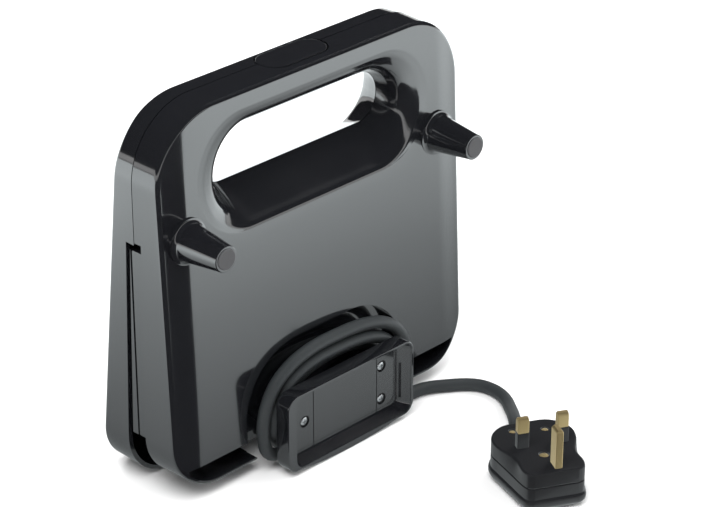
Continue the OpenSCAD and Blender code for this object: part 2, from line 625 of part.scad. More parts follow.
module tray_screws() placed() color(steel) for (s = screws_at) {
  reach = tray_back + recess_wall + tray_boss - 0.5 - floor_at(s[1]);
  screw(s[0], s[1], -tray_back - 1.2, reach, tray_screw_r, -1);
}
module foot(side) difference() {
  translate([side * foot_x, foot_seat - foot_face, foot_z]) rotate([90, 0, 0]) rotate_extrude() difference() {
    polygon(concat([[0, 0], [foot_root_r, 0], [foot_root_r, foot_seat + 0.4]],
      [for (a = [0:15:75]) [foot_root_r - 2.2 + 2.2 * (1 - sin(a)) - 0.3, foot_seat + 3 - 2.6 * cos(a)]],
      [[foot_tip_r + 0.5, foot_seat + foot_reach - 0.8], [foot_tip_r, foot_seat + foot_reach - 0.2],
      [foot_tip_r - 0.3, foot_seat + foot_reach], [pad_r + 0.1, foot_seat + foot_reach],
      [pad_r + 0.1, foot_seat + foot_reach - 1.5], [0, foot_seat + foot_reach - 1.5]]));
  }
  rod_y(side * foot_x, foot_z, 0 - foot_face - 10, far, 1.4);
}
module foot_left() placed() color(body_black) foot(-1);
module foot_right() placed() color(body_black) foot(1);
module foot_screws() placed() color(steel)
  for (side = [-1, 1]) screw(side * foot_x, foot_z, 6 - foot_face, 14, 1.4, 1);
module foot_pads() placed() color(soft_black) for (side = [-1, 1])
  rod_y(side * foot_x, foot_z, -foot_face - foot_reach - pad_proud, 1.5 - foot_face - foot_reach, pad_r);

module on_plug() placed() translate(plug_mid) rotate([0, 0, plug_turn]) children();
plug_off = -1.5;
// Half the plug's width along its length, from the earth end to the cord
plug_sides = [[-28.5, 12], [-27.8, 14.5], [-26, 16.2], [-21, 17.3], [-13, 16.6], [-8, 17.6], [-4, 19.4],
  [2, 22], [8, 23], [13, 22.3], [17.5, 20], [21, 16.5], [23, 13], [24, 9]];
function plug_line(grow) = [for (side = [1, -1], i = [0:len(plug_sides) - 1])
  let(p = plug_sides[side > 0 ? i : len(plug_sides) - 1 - i])
  [plug_off + side * (p[1] + grow), p[0] + grow * p[0] / 24]];
plug_joint = 12;
cover_lip = 1.4;
plug_screws_at = [[-2.6, -10.7, 2.6], [6.7, 13.5, 1.9], [-10.7, 16.1, 1.9]];
module plug_cover() on_plug() color(soft_black) difference() {
  union() {
    linear_extrude(plug_joint - 3) polygon(plug_line(cover_lip));
    linear_extrude(plug_joint) polygon(plug_line(0.4));
  }
  translate([0, 0, 2.2]) linear_extrude(plug_joint) polygon(plug_line(-2.6));
  translate([0, 20, 11.5]) rotate([-90, 0, 0]) cylinder(r = 5.2, h = 20);
}
module plug_body() on_plug() color(soft_black) difference() {
  translate([0, 0, plug_joint]) linear_extrude(plug_h - plug_joint) polygon(plug_line(0));
  translate([0, 0, plug_joint - 1]) linear_extrude(plug_h - plug_joint - 2) polygon(plug_line(-2.6));
  for (x = [-1, 1]) pin_hole(x * pin_pitch, 0, 6.35, 4);
  pin_hole(0, -earth_y, 4, 8);
  for (s = plug_screws_at) {
    translate([s[0], s[1], 0]) cylinder(r = 1.5, h = far);
    translate([s[0], s[1], plug_h - 1.6]) cylinder(r = s[2] + 0.4, h = far);
  }
  translate([0, 20, 11.5]) rotate([-90, 0, 0]) cylinder(r = 5.2, h = 20);
}
module pin_hole(x, y, w, d) translate([x - w / 2, y - d / 2, plug_joint]) cube([w, d, far]);
module pin(x, y, w, d, length) {
  translate([x - w / 2, y - d / 2, plug_h - 6]) cube([w, d, 6 + length - 1]);
  translate([x - w / 2 + 0.6, y - d / 2 + 0.6, plug_h + length - 1 - thin]) cube([w - 1.2, d - 1.2, 1]);
}
module earth_pin() on_plug() color(brass) pin(0, -earth_y, 4, 8, earth_len);
module live_pins() on_plug() color(brass) for (side = [-1, 1]) difference() {
  pin(side * pin_pitch, 0, 6.35, 4, pin_len);
  translate([side * pin_pitch, 0, plug_h + 4.25]) difference() {
    cube([20, 20, 10.5], center = true);
    cube([6.35 - 0.8, 4 - 0.8, 20], center = true);
  }
}
module pin_sleeves() on_plug() color(soft_black) for (side = [-1, 1])
  translate([side * pin_pitch, 0, plug_h + 4.25]) difference() {
    cube([6.35, 4, 10.5], center = true);
    cube([6.35 - 0.8, 4 - 0.8, 20], center = true);
  }
module plug_screws() on_plug() color(steel) for (s = plug_screws_at) translate([s[0], s[1], 0]) difference() {
  union() {
    translate([0, 0, 3]) cylinder(r = 1.4, h = plug_h - 4.6);
    translate([0, 0, plug_h - 1.6]) cylinder(r = s[2], h = 1.3);
  }
  translate([0, 0, plug_h]) cube([2 * s[2] - 1, 0.8, 1.6], center = true);
}
module plug_sleeve() on_plug() color(soft_black) translate([0, 19.6, 11.5]) rotate([-90, 0, 0])
  difference() {
    union() {
      cylinder(r = 6, h = 1.6);
      cylinder(r = 5.1, h = 10.5);
    }
    translate([0, 0, -1]) cylinder(r = 2.2, h = 3);
  }

lid_carrier_back = 13;
lens_r = 3.6;
lens_z = [plate_high - 19, plate_high - 9];
lens_boss_r = 5.3;
lens_seat = 18.4;
latch_axis_y = latch_d / 2 + latch_y - 3;
latch_axis_z = body_h - 1.7;
latch_pin_r = 0.8;
latch_pin_half = latch_w / 2 + 0.2;
lug_t = 3;
module lid_shell() placed() color(body_black) difference() {
  hull() {
    translate([0, rim + thin, 0]) sheet(shell_line(0, 0));
    on_lid(edge_r + roll_drop) sheet(shell_line(-side_draft, side_draft));
    on_lid(edge_r * 0.3 + roll_drop) sheet(shell_line(-side_draft, side_draft + edge_r * 0.3));
    on_lid(roll_drop) sheet(shell_line(-side_draft, side_draft + edge_r));
    on_lid(0) sheet(shell_line(-side_draft, side_draft + edge_r, roll_w));
  }
  difference() {
    hull() {
      translate([0, -2, 0]) sheet(shell_line(0, shell_wall));
      on_lid(shell_wall + edge_r + roll_drop) sheet(shell_line(-side_draft, shell_wall + side_draft));
      on_lid(shell_wall + roll_drop)
        sheet(shell_line(-side_draft, shell_wall + side_draft + edge_r * 0.6));
      on_lid(shell_wall)
        sheet(shell_line(-side_draft, shell_wall + side_draft + edge_r * 0.6, roll_w));
    }
    lid_funnel(shell_wall);
    translate([0, latch_y, 0]) pill(latch_w + 2 * latch_gap + 4, latch_d + 2 * latch_gap + 4, latch_floor - 3.5, far);
    for (side = [-1, 1], z = [carrier_low_z, carrier_high_z]) rod_y(side * carrier_x, z, lid_carrier_back, far, 4.5);
    for (side = [-1, 1], z = [shield_low + 5, lid_shield_high - 9]) rod_y(side * pad_x, z, lid_shield_y + shield_t, far, 3);
    for (z = lens_z) rod_y(0, z, lens_seat, far, lens_boss_r);
    for (side = [-1, 1], end = [-1, 1]) {
      x = side * arm_x + end * (arm_t / 2 + arm_gap + lug_t / 2);
      bar(x - lug_t / 2, x + lug_t / 2, axis_y - 5.2, far, -1, axis_z + 5.2);
    }
  }
  lid_funnel(0);
  across([[rim - 2, slot_top], [lid_slot_top, slot_top], [lid_slot_low, 34], [lid_slot_low, -1], [rim - 2, -1]]);
  translate([0, latch_y, 0]) pill(latch_w + 2 * latch_gap, latch_d + 2 * latch_gap, latch_floor - 1.5, far);
  rod_x(latch_axis_y, latch_axis_z, -latch_pin_half, latch_pin_half, latch_pin_r);
  for (side = [-1, 1]) {
    bar(side * arm_x - arm_t / 2 - arm_gap + 0.1, side * arm_x + arm_t / 2 + arm_gap - 0.1, -1,
      axis_y + 6.5, -1, 6);
    rod_x(axis_y, axis_z, side * arm_x - arm_t / 2 - arm_gap - lug_t - 1, side * arm_x + arm_t / 2 + arm_gap + lug_t + 1, pin_r);
    for (z = [carrier_low_z, carrier_high_z]) rod_y(side * carrier_x, z, 0, lid_carrier_back + 5.5, 1.3);
  }
  for (z = lens_z) rod_y(0, z, 0, far, lens_r + 0.05);
}
module lid_frame() placed() color(soft_black) difference() {
  union() {
    carrier(lid_part, lid_carrier_back, -far, lid_part + plate_t);
    for (side = [-1, 1], z = [carrier_low_z, carrier_high_z])
      lug(side, z, lid_carrier_back - lug_h);
  }
  for (side = [-1, 1], z = [carrier_low_z, carrier_high_z]) rod_y(side * carrier_x, z, 0, far, 1.8);
}
module lid_carrier_screws() placed() color(steel) for (side = [-1, 1], z = [carrier_low_z, carrier_high_z])
  screw(side * carrier_x, z, lid_carrier_back - lug_h, 7.5, 1.3, -1);
module hinge_pins() placed() color(steel) for (side = [-1, 1])
  rod_x(axis_y, axis_z, side * arm_x - arm_t / 2 - arm_gap - lug_t, side * arm_x + arm_t / 2 + arm_gap + lug_t, pin_r);
module lens(z) {
  rod_y(0, z, lens_seat - 1, lid_depth(z) + 0.5, lens_r);
  rod_y(0, z, lens_seat - 1, lens_seat, lens_r + 1);
}
module power_lens() placed() color([0.8, 0.1, 0.05]) lens(lens_z[0]);
module ready_lens() placed() color([0.1, 0.6, 0.15]) lens(lens_z[1]);
module neon_lamps() placed() color([0.95, 0.8, 0.7])
  for (z = lens_z) rod_y(0, z, lid_part + plate_t + 0.3, lens_seat - 1, 2.2);
module latch_pin() placed() color(steel)
  rod_x(latch_axis_y, latch_axis_z, -latch_pin_half, latch_pin_half, latch_pin_r);
module latch() placed() color(body_black) difference() {
  translate([0, latch_y, 0]) pill(latch_w, latch_d, body_h - latch_t, body_h);
  rod_x(latch_axis_y, latch_axis_z, -far, far, latch_pin_r + pin_clear);
}

base_shell();
base_frame();
lower_plate();
lower_element();
lower_reflector();
carrier_screws();
hinge_arms();
arm_screws();
thermostat();
thermal_fuse();
terminal_block();
inner_leads();
cord_gland();
cord_tray();
tray_screws();
foot_left();
foot_right();
foot_screws();
foot_pads();
cord_coil();
cord_lead();
plug_sleeve();
plug_body();
plug_cover();
plug_screws();
earth_pin();
live_pins();
pin_sleeves();
lid_shell();
lid_frame();
upper_plate();
upper_element();
upper_reflector();
lid_carrier_screws();
hinge_pins();
neon_lamps();
power_lens();
ready_lens();
latch_pin();
latch();
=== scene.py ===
"""A glossy black sandwich toaster that stands on its hinge end, with its cord and plug."""

import json
import logging
import math
from dataclasses import dataclass, field
from enum import Enum

import bmesh
import bpy
import numpy as np
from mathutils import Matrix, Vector

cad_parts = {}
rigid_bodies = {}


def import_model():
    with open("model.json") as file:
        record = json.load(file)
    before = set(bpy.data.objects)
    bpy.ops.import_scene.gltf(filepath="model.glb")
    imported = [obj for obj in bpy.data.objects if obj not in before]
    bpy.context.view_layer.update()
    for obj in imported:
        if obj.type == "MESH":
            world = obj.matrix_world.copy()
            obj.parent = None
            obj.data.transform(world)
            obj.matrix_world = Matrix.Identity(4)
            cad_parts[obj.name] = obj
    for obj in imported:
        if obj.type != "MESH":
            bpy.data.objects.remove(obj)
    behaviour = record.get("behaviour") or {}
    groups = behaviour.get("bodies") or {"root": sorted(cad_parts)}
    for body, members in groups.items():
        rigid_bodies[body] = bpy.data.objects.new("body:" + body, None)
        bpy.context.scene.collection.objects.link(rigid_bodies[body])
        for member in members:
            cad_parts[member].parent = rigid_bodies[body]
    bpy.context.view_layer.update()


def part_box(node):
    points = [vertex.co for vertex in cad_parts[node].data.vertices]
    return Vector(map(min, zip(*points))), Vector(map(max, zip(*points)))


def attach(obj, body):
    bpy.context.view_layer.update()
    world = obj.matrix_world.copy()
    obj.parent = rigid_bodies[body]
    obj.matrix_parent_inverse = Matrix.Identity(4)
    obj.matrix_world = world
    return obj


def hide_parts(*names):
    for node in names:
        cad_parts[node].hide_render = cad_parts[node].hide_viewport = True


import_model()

LOG = logging.getLogger("toaster")
MM = 0.001
RIM = 0.25
FAR = 300.0
SHARP_ANGLE = math.radians(32)
# The shells meet on a plane a little behind the middle of the box
SEAM_Y = float(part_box("lid_shell")[0][1]) / MM - RIM


class Body(Enum):
    """The rigid bodies that a piece can ride on."""

    BASE = "base"
    LID = "lid"
    LATCH = "latch"


class Cut(Enum):
    """How one solid changes another."""

    TAKE = "DIFFERENCE"
    ADD = "UNION"


@dataclass(frozen=True)
class Plastic:
    """A moulded plastic or rubber.

    Colour is linear, wear is how far the roughness wanders, grain the bump's strength.
    """

    name: str
    colour: tuple
    rough: float
    coat: float = 0.0
    wear: float = 0.04
    grain: float = 0.0
    grain_scale: float = 900.0
    metal: float = 0.0
    ior: float = 1.5

    def material(self) -> bpy.types.Material:
        """Build the node material, or return the one already made."""
        made = bpy.data.materials.get(self.name)
        if made:
            return made
        mat = bpy.data.materials.new(self.name)
        mat.use_nodes = True
        nodes, links = mat.node_tree.nodes, mat.node_tree.links
        shader = nodes["Principled BSDF"]
        place = nodes.new("ShaderNodeTexCoord")
        cloud = nodes.new("ShaderNodeTexNoise")
        cloud.inputs["Scale"].default_value = 24.0
        cloud.inputs["Detail"].default_value = 4.0
        links.new(place.outputs["Object"], cloud.inputs["Vector"])
        spread = nodes.new("ShaderNodeMapRange")
        spread.inputs["From Min"].default_value = 0.3
        spread.inputs["From Max"].default_value = 0.7
        spread.inputs["To Min"].default_value = max(0.02, self.rough - self.wear)
        spread.inputs["To Max"].default_value = self.rough + self.wear
        links.new(cloud.outputs["Fac"], spread.inputs["Value"])
        links.new(spread.outputs["Result"], shader.inputs["Roughness"])
        tint = nodes.new("ShaderNodeMix")
        tint.data_type = "RGBA"
        tint.inputs["A"].default_value = (*[c * 0.94 for c in self.colour], 1)
        tint.inputs["B"].default_value = (*[min(1, c * 1.06) for c in self.colour], 1)
        links.new(cloud.outputs["Fac"], tint.inputs["Factor"])
        links.new(tint.outputs["Result"], shader.inputs["Base Color"])
        shader.inputs["Metallic"].default_value = self.metal
        shader.inputs["IOR"].default_value = self.ior
        shader.inputs["Coat Weight"].default_value = self.coat
        shader.inputs["Coat Roughness"].default_value = 0.04
        if self.grain:
            fine = nodes.new("ShaderNodeTexNoise")
            fine.inputs["Scale"].default_value = self.grain_scale
            fine.inputs["Detail"].default_value = 3.0
            bump = nodes.new("ShaderNodeBump")
            bump.inputs["Strength"].default_value = self.grain
            bump.inputs["Distance"].default_value = 0.0002
            links.new(place.outputs["Object"], fine.inputs["Vector"])
            links.new(fine.outputs["Fac"], bump.inputs["Height"])
            links.new(bump.outputs["Normal"], shader.inputs["Normal"])
        return mat


GLOSS = Plastic("gloss_black", (0.0075, 0.008, 0.0095), 0.11, coat=1.0, wear=0.03, grain=0.015,
                grain_scale=60.0, ior=1.95)
MATTE = Plastic("matte_black", (0.012, 0.0125, 0.0135), 0.42, wear=0.06, grain=0.12)
CORD = Plastic("cord_rubber", (0.03, 0.034, 0.036), 0.46, wear=0.05, grain=0.1, grain_scale=700.0)
PLUG = Plastic("plug_black", (0.012, 0.0125, 0.014), 0.32, coat=0.15, wear=0.05, grain=0.08)
PAD = Plastic("pad_rubber", (0.03, 0.031, 0.033), 0.6, wear=0.06, grain=0.2)
ZINC = Plastic("bright_zinc", (0.78, 0.79, 0.8), 0.22, wear=0.07, grain=0.06, metal=1.0)
BRASS = Plastic("pin_brass", (0.86, 0.78, 0.42), 0.28, wear=0.08, grain=0.05, metal=1.0)
COATED = Plastic("plate_coating", (0.02, 0.02, 0.021), 0.38, wear=0.06, grain=0.15)
STEEL = Plastic("heater_steel", (0.3, 0.29, 0.28), 0.35, wear=0.08, grain=0.08, metal=1.0)
FOIL = Plastic("shield_aluminium", (0.75, 0.75, 0.76), 0.3, wear=0.08, grain=0.05, metal=1.0)
CERAMIC = Plastic("terminal_ceramic", (0.8, 0.77, 0.7), 0.5, grain=0.1)
SLEEVING = Plastic("lead_sleeving", (0.45, 0.43, 0.38), 0.6, grain=0.2)
RED = Plastic("red_lens", (0.55, 0.02, 0.015), 0.12, coat=0.5)
GREEN = Plastic("green_lens", (0.03, 0.32, 0.07), 0.12, coat=0.5)
GLASS = Plastic("lamp_glass", (0.85, 0.6, 0.45), 0.08, coat=0.5)


def rounded_line(x0: float, x1: float, z0: float, z1: float, low: float, top: float,
                 turn: int = 22, run: int = 22) -> np.ndarray:
    """Points of a rectangle with round corners, as four quarter circles and four straight runs.

    Args: the sides, the lower and upper corner radii, and the points on a turn and a run.
    Returns: an array of (x, z) points, the same count for every call with the same turn and run.
    """
    corners = ((x1 - top, z1 - top, top, 0), (x0 + top, z1 - top, top, 90),
               (x0 + low, z0 + low, low, 180), (x1 - low, z0 + low, low, 270))
    arcs = []
    for x, z, r, start in corners:
        a = np.radians(start + np.linspace(0, 90, turn))
        arcs.append(np.stack([x + r * np.cos(a), z + r * np.sin(a)], 1))
    line = []
    for arc, after in zip(arcs, arcs[1:] + arcs[:1]):
        k = (np.arange(1, run + 1) / (run + 1))[:, None]
        line += [arc, arc[-1] * (1 - k) + after[0] * k]
    return np.concatenate(line)


def stadium_line(half: float, z0: float, z1: float) -> np.ndarray:
    """A slot with round ends, its upright sides half a millimetre long."""
    r = (z1 - z0) / 2 - 0.25
    return rounded_line(-half, half, z0, z1, r, r)


def ring_at(line: np.ndarray, y: np.ndarray | float) -> np.ndarray:
    """Put (x, z) points at a depth, and the seam at its place in the box."""
    return np.stack([line[:, 0], np.broadcast_to(y, len(line)) + SEAM_Y, line[:, 1]], 1)


def spline(points: np.ndarray, steps: int) -> np.ndarray:
    """A smooth curve through points: a cubic whose slope at each point is half the step
    between its neighbours.

    Args: the points, and how many steps to take between two of them.
    Returns: the dense points.
    """
    p = np.vstack([2 * points[0] - points[1], points, 2 * points[-1] - points[-2]])
    k = np.linspace(0, 1, steps, endpoint=False)[:, None]
    out = []
    for a, b, c, d in zip(p[:-3], p[1:-2], p[2:-1], p[3:]):
        out.append(0.5 * (2 * b + (c - a) * k + (2 * a - 5 * b + 4 * c - d) * k ** 2
                          + (3 * b - a - 3 * c + d) * k ** 3))
    return np.vstack(out + [points[-1:]])


def mesh_object(name: str, points: np.ndarray, faces: list) -> bpy.types.Object:
    """Make an object from points in millimetres and faces, its normals outwards."""
    mesh = bpy.data.meshes.new(name)
    mesh.from_pydata((points * MM).tolist(), [], faces)
    mesh.validate()
    obj = bpy.data.objects.new(name, mesh)
    bpy.context.collection.objects.link(obj)
    work = bmesh.new()
    work.from_mesh(mesh)
    bmesh.ops.remove_doubles(work, verts=work.verts, dist=1e-7)
    bmesh.ops.recalc_face_normals(work, faces=work.faces)
    work.to_mesh(mesh)
    work.free()
    return obj


def loft(name: str, rings: list[np.ndarray], around: bool = False) -> bpy.types.Object:
    """Carry a surface through closed rings of equal counts.

    Args: the rings in order, and whether the last joins the first; else both ends are capped.
    Returns: the new object, a closed solid.
    """
    stack = np.stack(rings)
    m, n = stack.shape[:2]
    i, j = np.meshgrid(np.arange(m if around else m - 1), np.arange(n), indexing="ij")
    i2, j2 = (i + 1) % m, (j + 1) % n
    quads = np.stack([i * n + j, i * n + j2, i2 * n + j2, i2 * n + j], -1).reshape(-1, 4)
    faces = [tuple(q) for q in quads.tolist()]
    if not around:
        faces += [tuple(range(n)), tuple(range((m - 1) * n, m * n))]
    return mesh_object(name, stack.reshape(-1, 3), faces)


def block(name: str, line: np.ndarray, y0: float, y1: float) -> bpy.types.Object:
    """A straight bar along Y with the outline line, from y0 to y1."""
    return loft(name, [ring_at(line, y0), ring_at(line, y1)])


def box(name: str, x: tuple, y: tuple, z: tuple) -> bpy.types.Object:
    """A plain box, for cutting and for hidden ribs."""
    line = np.array([[x[0], z[0]], [x[1], z[0]], [x[1], z[1]], [x[0], z[1]]])
    return block(name, line, *y)


def spin_y(name: str, x: float, z: float, profile: np.ndarray, count: int = 64) -> bpy.types.Object:
    """A profile of (radius, y) pairs turned round an axis along Y through (x, z)."""
    a = np.linspace(0, 2 * np.pi, count, endpoint=False)
    rings = [np.stack([x + r * np.cos(a), np.full(count, y + SEAM_Y), z + r * np.sin(a)], 1)
             for r, y in profile]
    return loft(name, rings)


def tube(name: str, path: np.ndarray, radius: float, sides: int = 20,
         up: tuple = (0, 1, 0)) -> bpy.types.Object:
    """A round tube whose rings turn with the path: each ring's first direction is the last one's,
    less its part along the path's heading, so that the tube doesn't twist."""
    t = np.gradient(path, axis=0)
    t /= np.linalg.norm(t, axis=1)[:, None]
    u = np.zeros_like(t)
    last = np.array(up, float)
    for i, heading in enumerate(t):
        last = last - heading * (last @ heading)
        last /= np.linalg.norm(last)
        u[i] = last
    v = np.cross(t, u)
    a = np.linspace(0, 2 * np.pi, sides, endpoint=False)
    rings = path[:, None] + radius * (u[:, None] * np.cos(a)[None, :, None]
                                      + v[:, None] * np.sin(a)[None, :, None])
    return loft(name, list(rings))


def carve(target: bpy.types.Object, tool: bpy.types.Object, how: Cut = Cut.TAKE) -> None:
    """Change target by tool with an exact boolean, and delete the tool."""
    step = target.modifiers.new("carve", "BOOLEAN")
    step.operation = how.value
    step.solver = "EXACT"
    step.object = tool
    bake(target)
    bpy.data.objects.remove(tool, do_unlink=True)


def bake(obj: bpy.types.Object) -> None:
    """Apply an object's modifiers to its mesh."""
    graph = bpy.context.evaluated_depsgraph_get()
    mesh = bpy.data.meshes.new_from_object(obj.evaluated_get(graph))
    obj.modifiers.clear()
    old, obj.data = obj.data, mesh
    bpy.data.meshes.remove(old)


def finish_piece(obj: bpy.types.Object, body: Body, finish: Plastic,
                 nodes: tuple = (), bevel: float = 0.0) -> None:
    """Smooth, dress and place a piece on its body.

    Args: the piece, its body, its finish, the CAD nodes that it stands for,
    and the width in millimetres of a rounding on its sharp edges, or 0.
    """
    if bevel:
        step = obj.modifiers.new("edge", "BEVEL")
        step.width = bevel * MM
        step.segments = 3
        step.limit_method = "ANGLE"
        step.angle_limit = math.radians(38)
        step.harden_normals = False
        bake(obj)
    mesh = obj.data
    mesh.shade_smooth()
    mesh.set_sharp_from_angle(angle=SHARP_ANGLE)
    weight = obj.modifiers.new("weighted", "WEIGHTED_NORMAL")
    weight.keep_sharp = True
    weight.weight = 90
    bake(obj)
    obj.data.materials.clear()
    obj.data.materials.append(finish.material())
    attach(obj, body.value)
    if nodes:
        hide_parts(*nodes)
    LOG.info("%s: %d faces on %s", obj.name, len(obj.data.polygons), body.value)


@dataclass
class Shell:
    """One of the two wedge shells, from its rim over its face and down its flared handle opening.

    Sizes are in millimetres. side is -1 for the base and 1 for the lid, and profile gives the
    opening's half length, lower and upper edge at shares of the way from the face to the seam.
    """

    name: str
    body: Body
    side: int
    low: float
    depth_low: float
    depth_high: float
    profile: list
    half: float = 110.0
    high: float = 220.0
    r_low: float = 29.5
    r_top: float = 39.5
    wall: float = 2.2
    edge: float = 2.5
    draft: float = 0.6
    roll_w: float = 16.0
    roll_drop: float = 1.2
    flat_low: bool = False

    def depth(self, z: np.ndarray) -> np.ndarray:
        """The face's distance from the seam, which falls evenly towards the handle."""
        return self.depth_low + (self.depth_high - self.depth_low) * (z - self.low) / (self.high - self.low)

    def outline(self, inset: float) -> np.ndarray:
        """The shell's outline, drawn in by inset."""
        low = self.low + (inset - min(inset, self.draft) if self.flat_low else inset)
        return rounded_line(-self.half + inset, self.half - inset, low, self.high - inset,
                            self.r_low - inset, self.r_top - inset)

    def roll(self, line: np.ndarray) -> np.ndarray:
        """How far the face falls away near its left and right edges: a smooth step of the distance."""
        k = np.clip((self.half - self.draft - self.edge - np.abs(line[:, 0])) / self.roll_w, 0, 1)
        return self.roll_drop * (1 - k * k * (3 - 2 * k))

    def on_face(self, line: np.ndarray, under: float) -> np.ndarray:
        """Put an outline under the face, measured from its rolled surface."""
        return ring_at(line, self.side * (self.depth(line[:, 1]) - self.roll(line) - under))

    def rings(self) -> list[np.ndarray]:
        """All rings of the outer surface, from the seam's outer rim to its inner one."""
        rim = self.outline(0)
        side = self.outline(self.draft)
        first, last = ring_at(rim, self.side * RIM), self.on_face(side, self.edge)
        out = [first * (1 - k) + last * k for k in np.linspace(0, 1, 6)]
        for a in np.radians(np.linspace(10, 90, 9)):
            line = self.outline(self.draft + self.edge * (1 - math.cos(a)))
            out.append(self.on_face(line, self.edge * (1 - math.sin(a))))
        shares = np.array([row[0] for row in self.profile])
        sizes = np.array([row[1:] for row in self.profile])
        mouth = stadium_line(*sizes[0])
        edge_line = self.outline(self.draft + self.edge)
        for k in np.linspace(0, 1, 34)[1:-1] ** 1.7:
            out.append(self.on_face(edge_line * (1 - k) + mouth * k, 0))
        rows = spline(np.column_stack([shares, sizes]), 8)
        for share, half, z0, z1 in rows:
            line = stadium_line(half, z0, z1)
            y = (1 - share) * (self.depth(line[:, 1]) - self.roll(line)) + share * RIM
            out.append(ring_at(line, self.side * y))
        return out

    def cavity(self, top: float) -> bpy.types.Object:
        """The room for plates and carriers, under a flat cut at top, one wall inside the shell."""
        line = self.outline(self.wall + self.draft)
        line = np.column_stack([line[:, 0], np.minimum(line[:, 1], top)])
        keep = np.append(True, np.linalg.norm(np.diff(line, axis=0), axis=1) > 0.01)
        line = line[keep]
        far = ring_at(line, self.side * (self.depth(line[:, 1]) - self.wall - self.roll_drop))
        return loft("cavity", [ring_at(line, -self.side * 3), far])

    def build(self) -> bpy.types.Object:
        """The solid between the outer surface and the seam plane, hollowed for the plates."""
        shell = loft(self.name, self.rings(), around=True)
        carve(shell, self.cavity(145.0))
        return shell


def slot_prism(points: list, span: tuple = (-130, 130), name: str = "slot") -> bpy.types.Object:
    """A prism with (y, z) points along X over span: the side slots' cutter, and the rails in them."""
    p = np.array(points, float)
    rings = [np.column_stack([np.full(len(p), x), p[:, 0] + SEAM_Y, p[:, 1]]) for x in span]
    return loft(name, rings)


@dataclass
class Housing:
    """Both shells, with the recess, the channel, the side slots and the latch's bed."""

    recess_half: float = 59.3
    recess_top: float = 69.4
    recess_r: float = 39.0
    recess_floor: float = 18.0
    channel_top: float = 20.4
    channel_floor: float = 8.0
    lip: float = 2.4
    notch: float = 53.0
    tub: float = 2.0
    latch_y: float = -1.5
    base: Shell = field(default_factory=lambda: Shell(
        "base_housing", Body.BASE, -1, 6.0, 26.7, 17.7,
        [(0.0, 83.9, 142.3, 209.6), (0.052, 77.4, 144.9, 206.2), (0.21, 69.6, 147.8, 201.8),
         (0.52, 66.5, 154.0, 197.5), (1.0, 64.3, 163.5, 192.5)]))
    lid: Shell = field(default_factory=lambda: Shell(
        "lid_housing", Body.LID, 1, 0.0, 36.8, 12.4,
        [(0.0, 75.3, 150.7, 203.2), (0.04, 72.2, 153.6, 200.6), (0.16, 69.4, 156.4, 198.3),
         (0.55, 66.6, 160.2, 195.3), (1.0, 64.3, 163.5, 192.5)], flat_low=True))

    def recess(self, grow: float) -> np.ndarray:
        """The round-topped recess's outline, drawn out by grow."""
        return rounded_line(-self.recess_half - grow, self.recess_half + grow,
                            self.base.low + self.lip - grow, self.recess_top + grow,
                            8 + grow, self.recess_r + grow)

    def channel(self, grow: float) -> np.ndarray:
        """The channel across the hinge end: the shell's outline, cut level at its upper edge."""
        line = self.base.outline(self.lip + self.base.draft - grow)
        line = line[line[:, 1] < self.channel_top + grow]
        line[0, 1] = line[-1, 1] = self.channel_top + grow
        return line

    def tub_solid(self, name: str, line: np.ndarray, floor: float) -> bpy.types.Object:
        """A recess's wall as a solid that ends just under the face."""
        return loft(name, [self.base.on_face(line, 1.4), ring_at(line, -floor)])

    def build(self) -> None:
        """Make, carve and dress both shells."""
        base = self.base.build()
        carve(base, self.tub_solid("tub", self.recess(self.tub), self.recess_floor - self.tub), Cut.ADD)
        carve(base, self.tub_solid("trough", self.channel(self.tub), self.channel_floor - self.tub), Cut.ADD)
        carve(base, block("recess", self.recess(0), -60, -self.recess_floor))
        carve(base, block("channel", self.channel(0), -60, -self.channel_floor))
        carve(base, box("notch", (-self.notch, self.notch), (-60, -self.channel_floor), (0, 9.5)))
        carve(base, slot_prism([(2, 149), (-5, 149), (-2.4, 33), (-2.4, -1), (2, -1)]))
        pocket = rounded_line(-22.8, 22.8, self.latch_y - 10.8, self.latch_y + 10.8, 10.7, 10.7, 16, 4)
        for shell in (base,):
            carve(shell, self.bed(pocket, 216.2))
        finish_piece(base, Body.BASE, GLOSS, ("base_shell",))
        lid = self.lid.build()
        carve(lid, slot_prism([(-2, 147.5), (6.6, 147.5), (11.4, 34), (11.4, -1), (-2, -1)]))
        carve(lid, self.bed(pocket, 214.7))
        for side in (-1, 1):
            carve(lid, box("arm_slot", (side * 70 - 3.8, side * 70 + 3.8), (-1, 26.5), (-2, 6)))
        finish_piece(lid, Body.LID, GLOSS, ("lid_shell",))
        for side, mark in ((-1, "l"), (1, "r")):
            x = sorted((side * 104.6, side * 108.4))
            rail = slot_prism([(-4.3, 143.5), (3.4, 143.5), (4.4, 142.5), (4.4, 33.6), (-1.8, 33.6)], x, "lower_rail_" + mark)
            finish_piece(rail, Body.BASE, GLOSS, bevel=0.7)
            rail = slot_prism([(5.1, 143.0), (5.7, 143.0), (9.5, 33.6), (5.1, 33.6)], x, "upper_rail_" + mark)
            finish_piece(rail, Body.LID, GLOSS, bevel=0.25)
        for side in (-1, 1):
            for end in (-1, 1):
                x = side * 70 + end * 5.4
                lug = box(f"lid_lug_{'l' if side < 0 else 'r'}{'i' if end < 0 else 'o'}",
                          (x - 1.5, x + 1.5), (14.8, 33.0), (1.5, 22.7))
                finish_piece(lug, Body.LID, MATTE, bevel=0.6)

    @staticmethod
    def bed(pocket: np.ndarray, floor: float) -> bpy.types.Object:
        """The latch's bed: a pill-shaped cutter that stands on floor."""
        rings = [np.column_stack([pocket[:, 0], pocket[:, 1] + SEAM_Y, np.full(len(pocket), z)])
                 for z in (floor, 230.0)]
        return loft("bed", rings)


